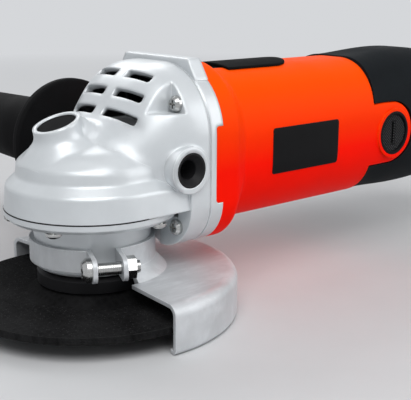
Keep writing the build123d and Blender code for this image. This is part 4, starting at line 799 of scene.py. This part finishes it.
# %% Wheel grains
def make_grains():
    any_turn, smallest = (6.28, 6.28, 6.28), 0.35
    tree, start, end = geometry_tree(
        "wheel_grains", numbers("Inner", "Outer", "Grain", "Density", "Upper Face", "Lower Face")
        + [("Seed", "Int", 1)])
    given = start.outputs
    link = tree.links.new
    both = add_node(tree, "GeometryNodeJoinGeometry")
    for label, shift in (("Upper Face", 0), ("Lower Face", 1)):
        plate = add_node(tree, "GeometryNodeMeshCircle", fill_type="TRIANGLE_FAN", Vertices=96)
        link(given["Outer"], plate.inputs["Radius"])
        lift = add_node(tree, "ShaderNodeCombineXYZ")
        link(given[label], lift.inputs["Z"])
        raised = add_node(tree, "GeometryNodeTransform")
        link(lift.outputs[0], raised.inputs["Translation"])
        scatter = add_node(tree, "GeometryNodeDistributePointsOnFaces")
        link(given["Density"], scatter.inputs["Density"])
        link(calc(tree, "ADD", given["Seed"], shift), scatter.inputs["Seed"])
        reach = add_node(tree, "ShaderNodeVectorMath", operation="LENGTH")
        link(add_node(tree, "GeometryNodeInputPosition").outputs[0], reach.inputs[0])
        centre = add_node(tree, "GeometryNodeDeleteGeometry", domain="POINT")
        sunk = calc(tree, "LESS_THAN", reach.outputs["Value"], given["Inner"])
        link(sunk, centre.inputs["Selection"])
        stone = add_node(tree, "GeometryNodeMeshIcoSphere", Subdivisions=1)
        link(given["Grain"], stone.inputs["Radius"])
        turn = add_node(tree, "FunctionNodeRandomValue", data_type="FLOAT_VECTOR")
        turn.inputs[1].default_value = any_turn
        size = add_node(tree, "FunctionNodeRandomValue", data_type="FLOAT")
        size.inputs[2].default_value, size.inputs[3].default_value = smallest, 1.0
        for node in (turn, size):
            link(given["Seed"], node.inputs["Seed"])
        stones = add_node(tree, "GeometryNodeInstanceOnPoints")
        chain(tree, plate, raised, scatter, centre, stones)
        link(stone.outputs[0], stones.inputs["Instance"])
        link(turn.outputs[0], stones.inputs["Rotation"])
        link(size.outputs[1], stones.inputs["Scale"])
        link(stones.outputs[0], both.inputs[0])
    close_tree(tree, start, end, both)
    return tree


grow("wheel_grains", make_grains(), "spindle_group", "abrasive", "abrasive_grain",
     Inner=29.0 * MM, Outer=56.6 * MM, Grain=0.26 * MM, Density=0.32 / MM ** 2,
     Upper_Face=6.98 * MM, Lower_Face=4.02 * MM, Seed=7)

# %% [markdown]
# The name plate is a plain thin black sheet glued to the housing's near side. It bends with the
# housing: flat in the middle, and round the tube's corner at its lower edge. Rows of points are
# laid along that outline, shorter near the corners so that these are round, and a Bevel modifier
# breaks the sharp edge.

# %% Name plate
def plate_rows(low, high, corner, steps=5, spans=10):
    """Heights of the rows, each with how far it stops short of the plate's full length."""
    ends = [(corner * (1 - math.cos(a)), corner * (1 - math.sin(a)))
            for a in (math.pi / 2 * i / steps for i in range(steps + 1))]
    straight = high - low - 2 * corner
    inner = [(low + corner + straight * i / spans, 0.0) for i in range(1, spans)]
    return [(low + z, x) for z, x in ends] + inner + [(high - z, x) for z, x in reversed(ends)]


def housing_side(z, lift):
    """A point of the near side at that height, and lift above it, as (y, z)."""
    half_width, radius, flat_low, flat_high = 33.5, 28.0, 56.5, 68.5
    middle_z = min(max(z, flat_low), flat_high)
    angle = math.asin((z - middle_z) / radius)
    reach = radius + lift
    return -(half_width - radius) - reach * math.cos(angle), middle_z + reach * math.sin(angle)


def make_name_plate(front, rear, low, high, corner, rise, sink):
    points = []
    rows = plate_rows(low, high, corner)
    for z, short in rows:
        for lift in (rise, -sink):
            y, height = housing_side(z, lift)
            points += [(front + short, y, height), (rear - short, y, height)]
    faces = [(0, 2, 3, 1)]
    for i in range(0, 4 * (len(rows) - 1), 4):
        a, b, c, d = range(i, i + 4)
        faces += [(a, b, b + 4, a + 4), (c, c + 4, d + 4, d),
                  (a, a + 4, c + 4, c), (b, d, d + 4, b + 4)]
    last = 4 * (len(rows) - 1)
    faces.append((last, last + 1, last + 3, last + 2))
    mesh = bpy.data.meshes.new("name_plate")
    mesh.from_pydata([Vector(p) * MM for p in points], [], faces)
    mesh.materials.append(finishes["plate_film"])
    return mesh


finish("plate_film", (0.006, 0.006, 0.0065), (0.42, 0.52), grain=0.4, bump=0.03, shade=0.15,
       edge=(0.04, 0.04, 0.042), edge_width=0.25, shine=0.06)
plate_mesh = make_name_plate(front=72.8, rear=115.5, low=51.0, high=71.5, corner=1.3, rise=0.28,
                             sink=0.3)
name_plate = new_piece("name_plate", plate_mesh, "body")
soften = name_plate.modifiers.new("soften", "BEVEL")
soften.width, soften.segments, soften.limit_method = 0.1 * MM, 2, "ANGLE"
print("name plate faces", len(name_plate.data.polygons))

# %% [markdown]
# A casting has no sharp inside corners, because molten metal doesn't fill them well. In the solid
# the dome, the hood and the lock boss meet in creases, and behind the boss a fillet fills these. It
# is the surface that a ball leaves under it as it rolls over the head. Rays from above give the
# head's heights on a grid. The ball's centre is as high as the ball has to be to clear every point
# near it, and the surface is as high as the balls around it allow. It is sunk by a hair, so that it
# shows only where it fills, and faded out towards the air slots and along the creases, which are
# round in the finish already.

# %% Head fillet
import numpy as np
from mathutils.bvhtree import BVHTree


def heights_of(solid, along, across, top):
    """The height of a solid under each point of a grid, in millimetres."""
    mesh = solid.data
    tree = BVHTree.FromPolygons([v.co for v in mesh.vertices], [p.vertices for p in mesh.polygons])
    hits = [tree.ray_cast(Vector((x, y, top)) * MM, Vector((0, 0, -1)))[0]
            for x, y in zip(along.flat, across.flat)]
    return np.array([0.0 if h is None else h.z / MM for h in hits]).reshape(along.shape)


def under_ball(heights, radius, step):
    """The surface that a ball leaves as it rolls over a grid of heights."""
    reach = int(radius / step)
    cells = [(i, j) for i in range(-reach, reach + 1) for j in range(-reach, reach + 1)]
    rows, columns = heights.shape
    for sense in (1, -1):
        padded = np.pad(sense * heights, reach, mode="edge")
        highest = np.full(heights.shape, -np.inf)
        for i, j in cells:
            left = radius ** 2 - (i * i + j * j) * step ** 2
            if left > 0:
                window = padded[reach + i:reach + i + rows, reach + j:reach + j + columns]
                highest = np.maximum(highest, window + math.sqrt(left))
        heights = sense * highest
    return heights


def fading(value, start, stop):
    """1 up to start, 0 from stop on, with a soft change between them."""
    share = np.clip((value - stop) / (start - stop), 0, 1)
    return share * share * (3 - 2 * share)


def neighbours(grid):
    """A grid and its copies shifted by one cell each way."""
    wide = np.pad(grid, 1, mode="edge")
    return wide[1:-1, 1:-1], wide[:-2, 1:-1], wide[2:, 1:-1], wide[1:-1, :-2], wide[1:-1, 2:]


def evened(grid, times):
    for _ in range(times):
        grid = sum(neighbours(grid)) / 5
    return grid


def make_head_fillet(ball, step, sink=0.05, slot_ball=3.0, border=2):
    along, across = np.meshgrid(np.arange(-20.0, 9.0, step), np.arange(-31.0, 31.0, step),
                                indexing="ij")
    bare = heights_of(frame["nodes"]["gear_housing"], along, across, top=120.0)
    filled = under_ball(under_ball(bare, slot_ball, step), ball, step)
    boss_wall, boss_edge, boss_foot = 9.0, 9.2, 11.5
    from_boss = np.hypot(along - lock_x, across)
    behind_boss = fading(-along, 5.5, 10.5)
    before_slots = fading(along, -3.5, 2.2)
    inside_creases = fading(abs(across), 10.0, 18.0)
    lift = (filled - bare) * behind_boss * before_slots * inside_creases
    lift[from_boss < boss_wall] = 0.0
    # The rim is thin and follows every step of the grid, so it is evened, and so is the middle.
    thin = fading(lift, 0.1, 0.3) * (from_boss > boss_foot)
    lift = lift + (evened(lift, 6) - lift) * thin
    surface = bare + lift
    deep = 1 - fading(lift, 0.3, 0.9)
    surface = surface + (evened(surface, 15) - surface) * deep
    # A steep place is sunk by more, which makes it the same depth across the surface.
    lean = np.sqrt(1 + sum(g ** 2 for g in np.gradient(surface, step)))
    height = surface - sink * lean
    shown = (height > bare) & (from_boss > boss_edge)
    for _ in range(border):
        shown = np.any(neighbours(shown), axis=0)

    # A face needs all four corners of its cell, and a point without a face is left out.
    corners = ((0, 0), (1, 0), (1, 1), (0, 1))
    rows, columns = (n - 1 for n in shown.shape)
    whole = np.all([shown[i:rows + i, j:columns + j] for i, j in corners], axis=0)
    used = np.zeros_like(shown)
    for i, j in corners:
        used[i:rows + i, j:columns + j] |= whole
    number = np.cumsum(used).reshape(used.shape) - 1
    points = np.dstack([along, across, height])[used] * MM
    faces = [[int(number[i + a, j + b]) for a, b in corners] for i, j in np.argwhere(whole)]
    mesh = bpy.data.meshes.new("head_fillet")
    mesh.from_pydata(points.tolist(), [], faces)
    mesh.shade_smooth()
    mesh.materials.append(finishes["casting_fillet"])
    return mesh


fillet_mesh = make_head_fillet(ball=7.0, step=0.3)
head_fillet = new_piece("head_fillet", fillet_mesh, "body")
skin = head_fillet.modifiers.new("skin", "SOLIDIFY")
skin.thickness, skin.offset = 0.3 * MM, -1.0
print("head fillet faces", len(fillet_mesh.polygons), "first normal",
      [round(v, 2) for v in fillet_mesh.polygons[0].normal])

# %% [markdown]
# A brush cap seats on its lobe with a collar, the dark ring round the studs. It is a small turned
# ring, so its profile is carried round the cap's axis in mesh code, one ring for each side.

# %% Brush cap collars
def make_collars(centre, profile, steps=72):
    points, faces = [], []
    count = len(profile)
    for side in (-1, 1):
        first = len(points)
        for i in range(steps):
            angle = side * 2 * math.pi * i / steps
            for radius, out in profile:
                points.append(Vector((centre.x + radius * MM * math.cos(angle), side * out * MM,
                                      centre.z + radius * MM * math.sin(angle))))
        for i in range(steps):
            here, ahead = first + i * count, first + (i + 1) % steps * count
            for k in range(count):
                after = (k + 1) % count
                faces.append((here + k, ahead + k, ahead + after, here + after))
    mesh = bpy.data.meshes.new("brush_cap_collars")
    mesh.from_pydata(points, [], faces)
    mesh.materials.append(finishes["cap_plastic"])
    return mesh


collar_profile = (                        # radius, and how far out from the tool's middle plane
    (9.3, 33.2), (9.3, 34.15), (9.6, 34.45), (10.5, 34.45), (10.8, 34.2), (10.8, 33.2))
collar_mesh = make_collars(cap_face, collar_profile)
new_piece("brush_cap_collars", collar_mesh, "body")
print("collar faces", len(collar_mesh.polygons), "third normal",
      [round(v, 2) for v in collar_mesh.polygons[2].normal])

# %% [markdown]
# The floor is a plain pale sheet just under the lowest edge of the guard, so that it takes the
# object's shadow. It is stage, not part of the object. Far from the lamps it would turn grey, so
# with distance it becomes the backdrop's own colour, for the camera and reflections only.

# %% Floor
def make_floor_paper():
    paper = finish("floor_paper", (0.60, 0.605, 0.615), (0.8, 0.9), grain=1.0, bump=0.02,
                   shade=0.02)
    tree = paper.node_tree
    link = tree.links.new
    x, y = parts_of(tree, add_node(tree, "ShaderNodeTexCoord").outputs["Object"])[:2]
    squares = (calc(tree, "POWER", x, 2.0), calc(tree, "POWER", y, 2.0))
    distance = calc(tree, "SQRT", calc(tree, "ADD", *squares))
    ray = add_node(tree, "ShaderNodeLightPath").outputs
    looked_at = calc(tree, "MAXIMUM", ray["Is Camera Ray"], ray["Is Glossy Ray"])
    glow = add_node(tree, "ShaderNodeEmission", Color=backdrop_colour)
    link(slope(tree, looked_at, 0.0, 1.0, backdrop_lit, backdrop_seen), glow.inputs["Strength"])
    blend = add_node(tree, "ShaderNodeMixShader")
    link(slope(tree, distance, 0.35, 1.3), blend.inputs[0])
    link(tree.nodes["Principled BSDF"].outputs[0], blend.inputs[1])
    link(glow.outputs[0], blend.inputs[2])
    link(blend.outputs[0], tree.nodes["Material Output"].inputs["Surface"])
    return paper


def make_floor():
    half, drop = 6.0, 0.0003
    low = cad_low.z - drop
    corners = [(-half, -half, low), (half, -half, low), (half, half, low), (-half, half, low)]
    mesh = bpy.data.meshes.new("floor")
    mesh.from_pydata(corners, [], [(0, 1, 2, 3)])
    sheet = bpy.data.objects.new("floor", mesh)
    bpy.context.scene.collection.objects.link(sheet)
    mesh.materials.append(make_floor_paper())


make_floor()
print("floor at", round(cad_low.z, 4))
